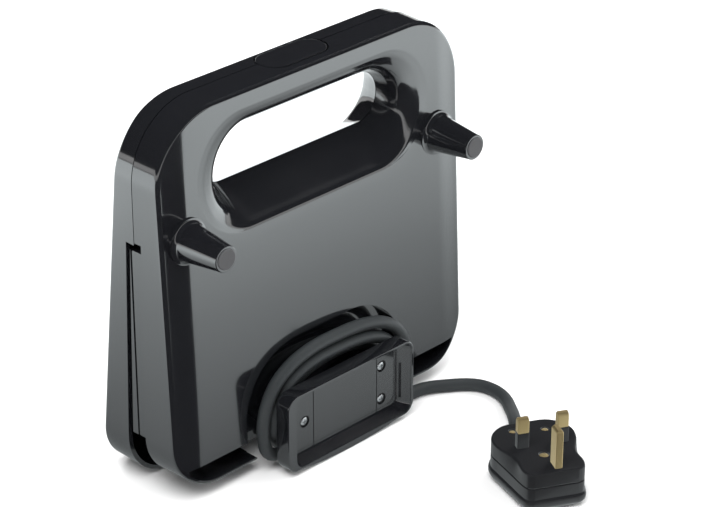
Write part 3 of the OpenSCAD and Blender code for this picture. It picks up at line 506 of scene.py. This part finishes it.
@dataclass
class Latch:
    """The pill across the seam at the top of the handle, with a softly rounded upper edge."""

    half: float = 22.0
    across: float = 10.0
    y: float = -1.5
    low: float = 217.0
    high: float = 220.0
    edge: float = 0.7

    def build(self) -> None:
        """Stack outlines from the underside over the rounded edge, and cap both ends."""
        rings = []
        steps = [(0.0, self.low)] + [(self.edge * (1 - math.cos(a)), self.high - self.edge * (1 - math.sin(a)))
                                     for a in np.radians(np.linspace(0, 90, 7))]
        for inset, z in steps:
            r = self.across - inset - 0.05
            line = rounded_line(-self.half + inset, self.half - inset, self.y - self.across + inset,
                                self.y + self.across - inset, r, r, 20, 6)
            rings.append(np.column_stack([line[:, 0], line[:, 1] + SEAM_Y, np.full(len(line), z)]))
        finish_piece(loft("latch_pill", rings), Body.LATCH, GLOSS, ("latch",))


@dataclass
class Feet:
    """Two cone feet with a swept root and a rubber pad each."""

    x: float = 91.5
    z: float = 150.6
    face: float = 20.62
    reach: float = 27.7
    tip: float = 7.2
    root: float = 12.7

    def build(self) -> None:
        """Turn the foot's profile: a root sweep, the cone and a small tip radius."""
        a = np.radians(np.linspace(0, 90, 12))
        slope = self.root - 2.6
        sweep = [(slope + 2.6 * (1 - math.sin(k)), 0.6 + 2.4 * (1 - math.cos(k))) for k in a]
        nose = [(self.tip - 0.5 + 0.5 * math.cos(k), self.reach - 0.5 + 0.5 * math.sin(k)) for k in a]
        profile = [(0.01, -1.0), (self.root, -1.0), (self.root, 0.6)] + sweep[1:] + nose
        profile += [(5.75, self.reach), (5.75, self.reach - 1.2), (0.01, self.reach - 1.2)]
        for side, name in ((-1, "left"), (1, "right")):
            spun = np.array([(r, -self.face - d) for r, d in profile])
            foot = spin_y(f"cone_foot_{name}", side * self.x, self.z, spun)
            finish_piece(foot, Body.BASE, GLOSS, (f"foot_{name}",))
            pad = [(0.01, self.reach - 1.4), (5.6, self.reach - 1.4)]
            pad += [(5.1 + 0.5 * math.cos(k), self.reach + 0.3 + 0.5 * math.sin(k)) for k in a] + [(0.01, self.reach + 0.8)]
            piece = spin_y(f"foot_pad_{name}", side * self.x, self.z,
                           np.array([(r, -self.face - d) for r, d in pad]))
            finish_piece(piece, Body.BASE, PAD, ("foot_pads",) if side < 0 else ())


@dataclass
class CordTray:
    """The rimmed tray that the cord is wound behind, on its core, with a bowed foot."""

    half: float = 48.06
    low: float = 3.0
    high: float = 49.3
    front: float = -45.7
    floor: float = -38.7
    back: float = -36.2
    edge: float = 0.6
    screws: tuple = ((-29.45, 26.1, 5.2), (29.45, 36.1, 4.3), (29.45, 15.5, 4.3))

    def inner(self, share: float) -> np.ndarray:
        """The hollow's outline, from the floor at 0 to the thin front rim at 1."""
        left, right, low, high = 40.7 + 1.3 * share, 40.7 + 5.7 * share, 8.2 - 4.0 * share, 46.6 + 1.3 * share
        return rounded_line(-left, right, low, high, 2.5 + 3.2 * share, 2.5 + 3.2 * share)

    def outer(self, inset: float) -> np.ndarray:
        """The flange's outline, drawn in by inset."""
        return rounded_line(-self.half + inset, self.half - inset, self.low + inset,
                            self.high - inset, 7.5 - inset, 7.5 - inset)

    def build(self) -> None:
        """Loft the flange and its hollow as one closed solid, then bore, groove and fit it."""
        turn = np.radians(np.linspace(0, 90, 7))
        rings = [ring_at(self.outer(self.edge), self.back)]
        rings += [ring_at(self.outer(self.edge * (1 - math.sin(a))), self.back - self.edge * (1 - math.cos(a)))
                  for a in turn[1:]]
        rings += [ring_at(self.outer(self.edge * (1 - math.cos(a))), self.front + self.edge * (1 - math.sin(a)))
                  for a in turn]
        rings += [ring_at(self.inner(1 - 0.06 * math.sin(a)), self.front + 0.5 * (1 - math.cos(a))) for a in turn]
        rings += [ring_at(self.inner(k), self.front + 0.5 + (1 - k) * (self.floor - self.front - 1.1))
                  for k in (0.7, 0.5, 0.3, 0.1)]
        rings += [ring_at(self.inner(0.02), self.floor - 0.5), ring_at(self.inner(0), self.floor)]
        tray = loft("winding_tray", rings)
        for x, z, _ in self.screws:
            carve(tray, spin_y("bore", x, z, np.array([(0.01, -40), (3.5, -40), (3.5, -37.4), (0.01, -37.4)])))
        for x in (-22.8, 25.8):
            carve(tray, box("groove", (x - 0.28, x + 0.28), (self.floor - 2, self.floor + 0.45), (7.4, 46.3)))
        carve(tray, box("window", (40.0, 42.6), (-44.2, -40.2), (12, 34)))
        finish_piece(tray, Body.BASE, GLOSS, ("cord_tray",))
        radius = (38 ** 2 + 3 ** 2) / 6
        x = np.linspace(-38, 38, 33)
        bow = np.concatenate([np.column_stack([x, radius - np.sqrt(radius ** 2 - x ** 2)]), [[38, 4.2], [-38, 4.2]]])
        foot = block("tray_foot", bow, self.front + 0.4, -37.7)
        finish_piece(foot, Body.BASE, GLOSS, bevel=0.4)
        a = np.linspace(0, 2 * np.pi, 96, endpoint=False)
        heading = np.stack([np.cos(a), np.sin(a)], 1)
        rounds = np.array(self.screws)
        best = np.argmax(heading @ rounds[:, :2].T + rounds[:, 2], axis=1)
        hull = rounds[best, :2] + rounds[best, 2:] * heading
        hull[:, 1] = np.maximum(hull[:, 1], 11.2)
        core = block("tray_core", hull, self.back - 0.5, -18.0)
        finish_piece(core, Body.BASE, GLOSS)
        self.dress_screws()

    def dress_screws(self) -> None:
        """Round cross-slot heads in the bores, in place of the plain ones."""
        a = np.radians(np.linspace(0, 90, 8))
        for i, (x, z, _) in enumerate(self.screws):
            dome = [(0.01, -37.3), (2.6, -37.3), (2.6, -38.0)]
            dome += [(2.6 * math.cos(k), -38.0 - 0.8 * math.sin(k)) for k in a[1:-1]] + [(0.05, -38.8)]
            head = spin_y(f"tray_screw_{i + 1}", x, z, np.array(dome), 48)
            for w, h in ((1.5, 0.36), (0.36, 1.5)):
                carve(head, box("cross", (x - w, x + w), (-40, -38.1), (z - h, z + h)))
            finish_piece(head, Body.BASE, ZINC, ("tray_screws",) if i == 0 else ())


@dataclass
class Plug:
    """The two-part plug, face up on the surface, with its screws, pins and strain relief.

    Points are in the plug's own frame: Z up, Y towards the cord, millimetres.
    """

    mid: tuple = (45.4, -141.4)
    turn: float = math.radians(-28.9)
    off: float = -1.5
    joint: float = 15.0
    top: float = 24.0
    lip: float = 1.2
    dome: float = 7.0
    skirt: float = 5.6
    sides: tuple = ((-28.5, 12), (-27.8, 14.5), (-26, 16.2), (-21, 17.3), (-13, 16.6), (-8, 17.6), (-4, 19.4),
                    (2, 22), (8, 23), (13, 22.3), (17.5, 20), (21, 16.5), (23, 13), (24, 9))
    waist: tuple = ((-21, 17.7), (8, 23))
    screws: tuple = ((-2.6, -10.7, 2.6), (6.7, 13.5, 1.9), (-10.7, 16.1, 1.9))
    made: list = field(default_factory=list)

    def at(self, points: np.ndarray) -> np.ndarray:
        """Turn the plug's own points into the row frame, in millimetres."""
        p = np.atleast_2d(np.asarray(points, float))
        c, s = math.cos(self.turn), math.sin(self.turn)
        return np.stack([self.mid[0] + p[:, 0] * c - p[:, 1] * s,
                         self.mid[1] + SEAM_Y + p[:, 0] * s + p[:, 1] * c, p[:, 2]], 1)

    def line(self, grow: float, straight: float = 0.0) -> np.ndarray:
        """The outline, splined through its sides and drawn out along its normals; straight takes
        the waist out of it, from 0 to 1."""
        y, half = np.array(self.sides, float).T
        (y0, h0), (y1, h1) = self.waist
        chord = h0 + (h1 - h0) * (y - y0) / (y1 - y0)
        half = np.where((y >= y0) & (y <= y1), half * (1 - straight) + chord * straight, half)
        right = np.stack([self.off + half, y], 1)
        left = np.stack([self.off - half, y], 1)[::-1]
        curve = np.vstack([spline(right, 6), spline(left, 6)])
        step = np.roll(curve, -1, 0) - np.roll(curve, 1, 0)
        step /= np.linalg.norm(step, axis=1)[:, None]
        return curve + grow * np.stack([step[:, 1], -step[:, 0]], 1)

    def stack(self, name: str, steps: list) -> bpy.types.Object:
        """Loft the outline through (grow, z) steps; it is waisted at the top, straight lower down."""
        rings = []
        for grow, z in steps:
            line = self.line(grow, min(1.0, max(0.0, (self.top - z) / (self.top - self.joint))) ** 0.8)
            rings.append(self.at(np.column_stack([line, np.full(len(line), z)])))
        return loft(name, rings)

    def cutter(self, x: tuple, y: tuple, z: tuple) -> bpy.types.Object:
        """A box in the plug's own frame."""
        flat = [(x[0], y[0]), (x[1], y[0]), (x[1], y[1]), (x[0], y[1])]
        return loft("cutter", [self.at(np.array([(*p, k) for p in flat])) for k in z])

    def column(self, name: str, x: float, y: float, profile: list, count: int = 48) -> bpy.types.Object:
        """(radius, z) pairs turned round an upright axis at (x, y)."""
        a = np.linspace(0, 2 * np.pi, count, endpoint=False)
        return loft(name, [self.at(np.stack([x + r * np.cos(a), y + r * np.sin(a), np.full(count, z)], 1))
                           for r, z in profile])

    def keep(self, obj: bpy.types.Object, finish: Plastic, slot: str, nodes: tuple = (),
             bevel: float = 0.0) -> None:
        """Finish a piece and note it as one that goes with the cord."""
        finish_piece(obj, Body.BASE, finish, nodes, bevel)
        obj.visible_glossy = False
        self.made.append(obj)

    def build(self) -> list:
        """Make every piece of the plug, and return them."""
        turn = np.radians(np.linspace(0, 90, 8))
        body = [(-0.5, self.joint), (0.0, self.joint + 0.4)]
        body += [(0.0, self.joint + k) for k in np.linspace(1.5, 6.5, 5)]
        body += [(-1.1 * (1 - math.cos(a)), self.top - 1.1 * (1 - math.sin(a))) for a in turn]
        half = self.stack("plug_base", body)
        for x, y, r in self.screws:
            carve(half, self.column("bore", x, y, [(r + 0.4, self.top - 1.6), (r + 0.4, 30)]))
        tunnel = self.tunnel(5.3, 19, 30)
        carve(half, tunnel)
        self.keep(half, PLUG, "plug_plastic", ("plug_body",))
        cover = [(self.lip - self.dome * (1 - math.sin(a)), self.skirt * (1 - math.cos(a))) for a in turn]
        cover += [(self.lip - 0.3 * k * k, self.skirt + 1.6 * k) for k in (0.4, 0.7, 1.0)]
        cover += [(0.5, self.skirt + 2.0), (0.1, self.skirt + 2.6), (0.0, self.joint - 0.6), (-0.4, self.joint - 0.1)]
        lid = self.stack("plug_lid", cover)
        carve(lid, self.tunnel(5.3, 19, 30))
        self.keep(lid, PLUG, "plug_plastic", ("plug_cover",))
        for i, (x, y, r) in enumerate(self.screws):
            dome = [(r, self.top - 1.7)] + [(r * math.cos(a), self.top - 1.0 + 0.7 * math.sin(a)) for a in turn[:-1]]
            head = self.column(f"plug_screw_{i + 1}", x, y, dome + [(0.05, self.top - 0.3)])
            carve(head, self.cutter((x - r + 0.5, x + r - 0.5), (y - 0.35, y + 0.35), (self.top - 0.8, 30)))
            self.keep(head, BRASS, "pin_brass", ("plug_screws",) if i == 0 else ())
        for name, x, y, wide, deep, long in (("earth", 0, -22.2, 4, 8, 22.7), ("line", 11.1, 0, 6.35, 4, 17.7),
                                             ("neutral", -11.1, 0, 6.35, 4, 17.7)):
            pin = self.pin(f"{name}_blade", x, y, wide, deep, self.top - 1, self.top + long, 0.9)
            self.keep(pin, BRASS, "pin_brass", ("earth_pin",) if name == "earth"
                      else ("live_pins",) if name == "line" else ())
            if name != "earth":
                sleeve = self.pin(f"{name}_sleeve", x, y, 6.55, 4.2, self.top - 1, self.top + 9.5, 0.15)
                self.keep(sleeve, PLUG, "plug_plastic", ("pin_sleeves",) if name == "line" else ())
        self.keep(self.relief(), PLUG, "plug_plastic", ("plug_sleeve",))
        return self.made

    def tunnel(self, r: float, y0: float, y1: float) -> bpy.types.Object:
        """The round way out for the cord."""
        a = np.linspace(0, 2 * np.pi, 48, endpoint=False)
        return loft("tunnel", [self.at(np.stack([r * np.cos(a), np.full(48, y), 11.5 + r * np.sin(a)], 1))
                               for y in (y0, y1)])

    def pin(self, name: str, x: float, y: float, wide: float, deep: float, low: float, high: float,
            nose: float) -> bpy.types.Object:
        """A flat pin with rounded edges and a chamfered tip."""
        rings = []
        for inset, z in ((0, low), (0, high - 1.6), (nose * 0.45, high - 0.7), (nose, high)):
            side = inset * (0.25 if wide > deep else 1.0)
            line = rounded_line(x - wide / 2 + side, x + wide / 2 - side, y - deep / 2 + inset,
                                y + deep / 2 - inset, 0.45, 0.45, 5, 3)
            rings.append(self.at(np.column_stack([line, np.full(len(line), z)])))
        return loft(name, rings)

    def relief(self) -> bpy.types.Object:
        """The ribbed strain relief that holds the cord at the plug."""
        rows = [(5.0, 18.6), (6.0, 19.6), (6.0, 21.2), (5.1, 21.6)]
        for k in range(5):
            y = 22.4 + 1.55 * k
            r = 5.15 - 0.16 * k
            rows += [(r - 0.5, y), (r - 0.5, y + 0.45), (r, y + 0.6), (r, y + 1.4)]
        rows += [(4.1, 30.1), (3.5, 30.1)]
        a = np.linspace(0, 2 * np.pi, 48, endpoint=False)
        return loft("strain_relief", [self.at(np.stack([r * np.cos(a), np.full(48, y), 11.5 + r * np.sin(a)], 1))
                                      for r, y in rows])


@dataclass
class Cord:
    """The cord: from its gland round the core behind the tray, then over the surface to the plug."""

    plug: Plug
    radius: float = 3.6
    half: float = 58.6
    mid_x: float = 3.25
    mid_z: float = 24.0
    rise: float = 43.9
    drop: float = 19.8
    front: float = 31.8
    pitch: float = 7.9
    turns: float = 2.71
    tilt: float = 1.0

    def winding(self, u: np.ndarray) -> np.ndarray:
        """Points of the winding at u turns from its outer end: a round-cornered oval that lies
        in a cone, whose turns stand one behind the other at the bottom."""
        a = 2 * np.pi * u
        k = np.clip(np.cos(a) / 0.5, 0, 1)
        end = np.clip((u - 2.05) / 0.55, 0, 1)
        top = self.tilt + (22 - self.tilt) * end * end * (3 - 2 * end)
        tilt = np.radians(top + (88 - top) * k * k * (3 - 2 * k))
        inset = u * self.pitch * np.cos(tilt)
        low = np.cos(a) > 0
        n = np.where(low, 3.4, 2.6)
        h = np.where(low, self.drop, self.rise) - inset
        r = 1 / ((np.abs(np.sin(a)) / (self.half - inset)) ** n + (np.abs(np.cos(a)) / h) ** n) ** (1 / n)
        return np.stack([self.mid_x - r * np.sin(a), -self.front + u * self.pitch * np.sin(tilt),
                         self.mid_z - r * np.cos(a)], 1)

    def route(self) -> np.ndarray:
        """The cord's whole centreline from the gland to the plug, in the row frame, millimetres."""
        coil = self.winding(np.arange(0, math.floor(self.turns * 24) + 1) / 24)
        gland = coil[-1] + np.array([1, 2.4, -5.2])
        bend = [gland, gland - 0.9 * np.array([0, 0.8, -0.6]), coil[-1] + np.array([0.7, 0.45, -2.9])]
        heading = (coil[1] - coil[0]) / np.linalg.norm(coil[1] - coil[0])
        lead = [coil[0] - 8 * heading, (26, -32.3, 4), (44, -32.6, 3.8), (63, -32.9, 3.7), (72, -35.5, 3.6),
                (80, -40.8, 3.6), (87.5, -46.6, 3.6), (92.8, -53, 3.6), (95, -60.5, 3.6), (94.3, -69, 3.7),
                (90.3, -77.5, 4.3), (84.6, -85, 5.4), (78, -92.8, 7.6), (70.8, -100.4, 10)]
        way = np.vstack([bend, coil[::-1], lead])
        way[:, 1] += SEAM_Y
        way = np.vstack([way, self.plug.at(np.array([(0, 38.5, 11.5), (0, 30.1, 11.5)]))])
        return spline(way, 5)

    def build(self) -> None:
        pieces = self.plug.build()
        path = self.route()
        cord = tube("mains_cord", path, self.radius, 24)
        finish_piece(cord, Body.BASE, CORD, ("cord_coil", "cord_lead"))


@dataclass
class Fittings:
    """The CAD pieces that keep their own shape and only take a finish."""

    finishes: dict = field(default_factory=lambda: {
        "base_frame": GLOSS, "lid_frame": GLOSS, "lower_plate": COATED, "upper_plate": COATED,
        "lower_element": STEEL, "upper_element": STEEL, "lower_reflector": FOIL, "upper_reflector": FOIL,
        "carrier_screws": ZINC, "lid_carrier_screws": ZINC, "hinge_arms": MATTE, "arm_screws": ZINC,
        "thermostat": CERAMIC, "thermal_fuse": CERAMIC, "terminal_block": CERAMIC, "inner_leads": SLEEVING,
        "cord_gland": MATTE, "foot_screws": ZINC, "hinge_pins": ZINC, "neon_lamps": GLASS,
        "power_lens": RED, "ready_lens": GREEN, "latch_pin": ZINC})

    def build(self) -> None:
        """Dress each node that is left."""
        for node, finish in self.finishes.items():
            for obj in bpy.data.objects:
                if obj.type == "MESH" and (obj.name == node or obj.get("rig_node") == node):
                    obj.data.materials.clear()
                    obj.data.materials.append(finish.material())
                    LOG.info("%s: %s", node, finish.name)


@dataclass
class Studio:
    """The white floor and backdrop, the soft lights and the camera at the photograph's angle."""

    azimuth: float = math.radians(45.51)
    elevation: float = math.radians(27.45)
    distance: float = 1448.16
    lens: float = 130.75
    target: tuple = (52.23, 0.0, 83.07)
    horizon: float = 7.0
    # The end angle of the painted dark floor reflection, round the face's lower left corner.
    dark_reflection_from: float = -52.0
    # Painted floor reflection: glow level by distance from the body, low beside it as painted shade.
    reflection_levels: tuple = ((-32, 0.18), (0, 0.26), (40, 0.46), (160, 0.9), (280, 1.5), (500, 1.9), (3000, 1.9))

    def build(self) -> None:
        """Set the view, the world, the floor, the lights and the camera."""
        scene = bpy.context.scene
        scene.view_settings.view_transform = "Standard"
        self.world(scene)
        self.floor()
        # Painted reflections: sheets that only the gloss sees, which paint dark and light into its reflections.
        self.canopy()
        self.dark_floor()
        self.graded_floor()
        self.light("key", (-520, -260, 1050), (0, 0, 60), 700, 14.0)
        self.light("soft", (875, -104, 1084), (52, 0, 83), 460, 6.0, glossy=True)
        self.light("fill", (1000, -900, 620), (40, -20, 60), 800, 7.0)
        self.light("back", (300, 900, 900), (0, 0, 90), 600, 8.0)
        self.camera(scene)

    def world(self, scene: bpy.types.Scene) -> None:
        """A plain grey light, seen as white by the camera and in reflections."""
        world = bpy.data.worlds.new("studio")
        scene.world = world
        world.use_nodes = True
        nodes, links = world.node_tree.nodes, world.node_tree.links
        back = nodes["Background"]
        back.inputs["Color"].default_value = (1, 1, 1, 1)
        path = nodes.new("ShaderNodeLightPath")
        seen = nodes.new("ShaderNodeMath")
        seen.operation = "MAXIMUM"
        links.new(path.outputs["Is Camera Ray"], seen.inputs[0])
        links.new(path.outputs["Is Transmission Ray"], seen.inputs[1])
        both = nodes.new("ShaderNodeMath")
        both.operation = "MAXIMUM"
        links.new(seen.outputs[0], both.inputs[0])
        links.new(path.outputs["Is Glossy Ray"], both.inputs[1])
        level = nodes.new("ShaderNodeMapRange")
        level.inputs["To Min"].default_value = 0.55
        level.inputs["To Max"].default_value = 1.0
        links.new(both.outputs[0], level.inputs["Value"])
        links.new(level.outputs["Result"], back.inputs["Strength"])

    def floor(self) -> None:
        """A wide floor whose own colour is white to the camera, and which keeps shadows."""
        r = 6000.0
        points = np.array([(-r, -r, -0.05), (r, -r, -0.05), (r, r, -0.05), (-r, r, -0.05)])
        plane = mesh_object("floor", points, [(0, 1, 2, 3)])
        mat = bpy.data.materials.new("floor_white")
        mat.use_nodes = True
        shader = mat.node_tree.nodes["Principled BSDF"]
        shader.inputs["Base Color"].default_value = (0.92, 0.92, 0.92, 1)
        shader.inputs["Roughness"].default_value = 0.75
        shader.inputs["Specular IOR Level"].default_value = 0.2
        plane.data.materials.append(mat)

    def canopy(self) -> None:
        """A painted dark reflection: a dark dome that only reflections see. It stands for a studio's unlit ceiling
        and far walls and makes the upward faces of the gloss black. It stops no light and casts no shadow."""
        up, round_ = np.meshgrid(np.radians(np.linspace(self.horizon, 89.9, 12)),
                                 np.radians(np.arange(0, 360, 7.5)), indexing="ij")
        r = 3200.0
        points = np.stack([r * np.cos(up) * np.cos(round_), r * np.cos(up) * np.sin(round_),
                           r * np.sin(up)], -1)
        dome = loft("canopy", list(points))
        mat = bpy.data.materials.new("painted_dark_reflection")
        mat.use_nodes = True
        shader = mat.node_tree.nodes["Principled BSDF"]
        # Painted dark reflection: near black, seen only in the gloss.
        shader.inputs["Base Color"].default_value = (0.014, 0.014, 0.016, 1)
        shader.inputs["Roughness"].default_value = 1.0
        shader.inputs["Specular IOR Level"].default_value = 0.0
        dome.data.materials.append(mat)
        self.reflection_only(dome)

    def reflection_only(self, obj: bpy.types.Object) -> None:
        """Leave a painted reflection surface to reflections alone."""
        obj.visible_camera = obj.visible_diffuse = obj.visible_shadow = False
        obj.visible_transmission = False

    def dark_floor(self) -> None:
        """A painted dark reflection: a dark sheet that stands for an unlit part of the studio's floor, at the
        camera's left, and that only reflections see; it paints shade into the rounding between the face and the side
        wall. A sector about the face's lower left corner."""
        out, turn = np.meshgrid(np.array([4.0, 3000.0]), np.radians(np.linspace(-176, self.dark_reflection_from, 40)),
                                indexing="ij")
        points = np.stack([out * np.cos(turn) - 97.0, out * np.sin(turn) - 27.0 + SEAM_Y, np.full_like(out, 0.4)], -1)
        faces = [(i, i + 1, i + 41, i + 40) for i in range(39)]
        sheet = mesh_object("dark_floor", points.reshape(-1, 3), faces)
        sheet.data.materials.append(bpy.data.materials["painted_dark_reflection"])
        self.reflection_only(sheet)

    def graded_floor(self) -> None:
        """A painted floor reflection: a glowing sheet that only reflections see, with painted shade beside the body
        and brighter further out. Rings round the body's plan hold the level as an attribute, by their distance from
        it."""
        reflection_levels = np.array(self.reflection_levels)
        rings = []
        for d in reflection_levels[:, 0]:
            r = max(0.5, 1 + d * 0.7)
            line = rounded_line(-110 - d, 110 + d, -27 - d, 40 + d, r, r, 12, 6)
            rings.append(np.column_stack([line[:, 0], line[:, 1] + SEAM_Y, np.full(len(line), 0.2)]))
        m, n = len(rings), len(rings[0])
        faces = [(i * n + j, i * n + (j + 1) % n, (i + 1) * n + (j + 1) % n, (i + 1) * n + j)
                 for i in range(m - 1) for j in range(n)] + [tuple(range(n))]
        sheet = mesh_object("graded_floor", np.concatenate(rings), faces)
        level = sheet.data.attributes.new("level", "FLOAT", "POINT")
        co = np.zeros(len(sheet.data.vertices) * 3)
        sheet.data.vertices.foreach_get("co", co)
        x, y, _ = (co.reshape(-1, 3) / MM).T
        away = np.maximum(np.abs(x) - 110, np.maximum(-27 - (y - SEAM_Y), y - SEAM_Y - 40))
        level.data.foreach_set("value", np.interp(away, reflection_levels[:, 0], reflection_levels[:, 1]))
        mat = bpy.data.materials.new("painted_reflection_glow")
        mat.use_nodes = True
        nodes, links = mat.node_tree.nodes, mat.node_tree.links
        read = nodes.new("ShaderNodeAttribute")
        read.attribute_name = "level"
        # Painted reflection: the sheet glows by its level, though it is no lamp.
        glow = nodes.new("ShaderNodeEmission")
        glow.inputs["Color"].default_value = (0.92, 0.985, 1.0, 1)
        links.new(read.outputs["Fac"], glow.inputs["Strength"])
        links.new(glow.outputs[0], nodes["Material Output"].inputs["Surface"])
        sheet.data.materials.append(mat)
        self.reflection_only(sheet)

    def light(self, name: str, at: tuple, to: tuple, size: float, watts: float,
              glossy: bool = False) -> None:
        """One square soft light, aimed at a point; glossy ones show in reflections."""
        lamp = bpy.data.lights.new(name, "AREA")
        lamp.size = size * MM
        lamp.energy = watts
        obj = bpy.data.objects.new(name, lamp)
        obj.location = Vector(at) * MM
        obj.visible_glossy = glossy
        obj.rotation_euler = (Vector(to) - Vector(at)).to_track_quat("-Z", "Y").to_euler()
        bpy.context.collection.objects.link(obj)

    def camera(self, scene: bpy.types.Scene) -> None:
        """The camera that was fitted to the photograph."""
        data = bpy.data.cameras.new("camera")
        data.lens = self.lens
        data.sensor_width = 36.0
        data.clip_end = 100.0
        cam = bpy.data.objects.new("camera", data)
        way = Vector((-math.sin(self.azimuth) * math.cos(self.elevation),
                      -math.cos(self.azimuth) * math.cos(self.elevation), math.sin(self.elevation)))
        to = Vector((self.target[0], self.target[1] + SEAM_Y, self.target[2]))
        cam.location = (to + way * self.distance) * MM
        cam.rotation_euler = (-way).to_track_quat("-Z", "Y").to_euler()
        bpy.context.collection.objects.link(cam)
        scene.camera = cam


def main() -> None:
    """Build each sub-assembly in order, then the studio."""
    logging.basicConfig(level=logging.INFO, format="%(message)s")
    Housing().build()
    Latch().build()
    Feet().build()
    CordTray().build()
    Cord(Plug()).build()
    Fittings().build()
    Studio().build()


if __name__ == "__main__":
    main()
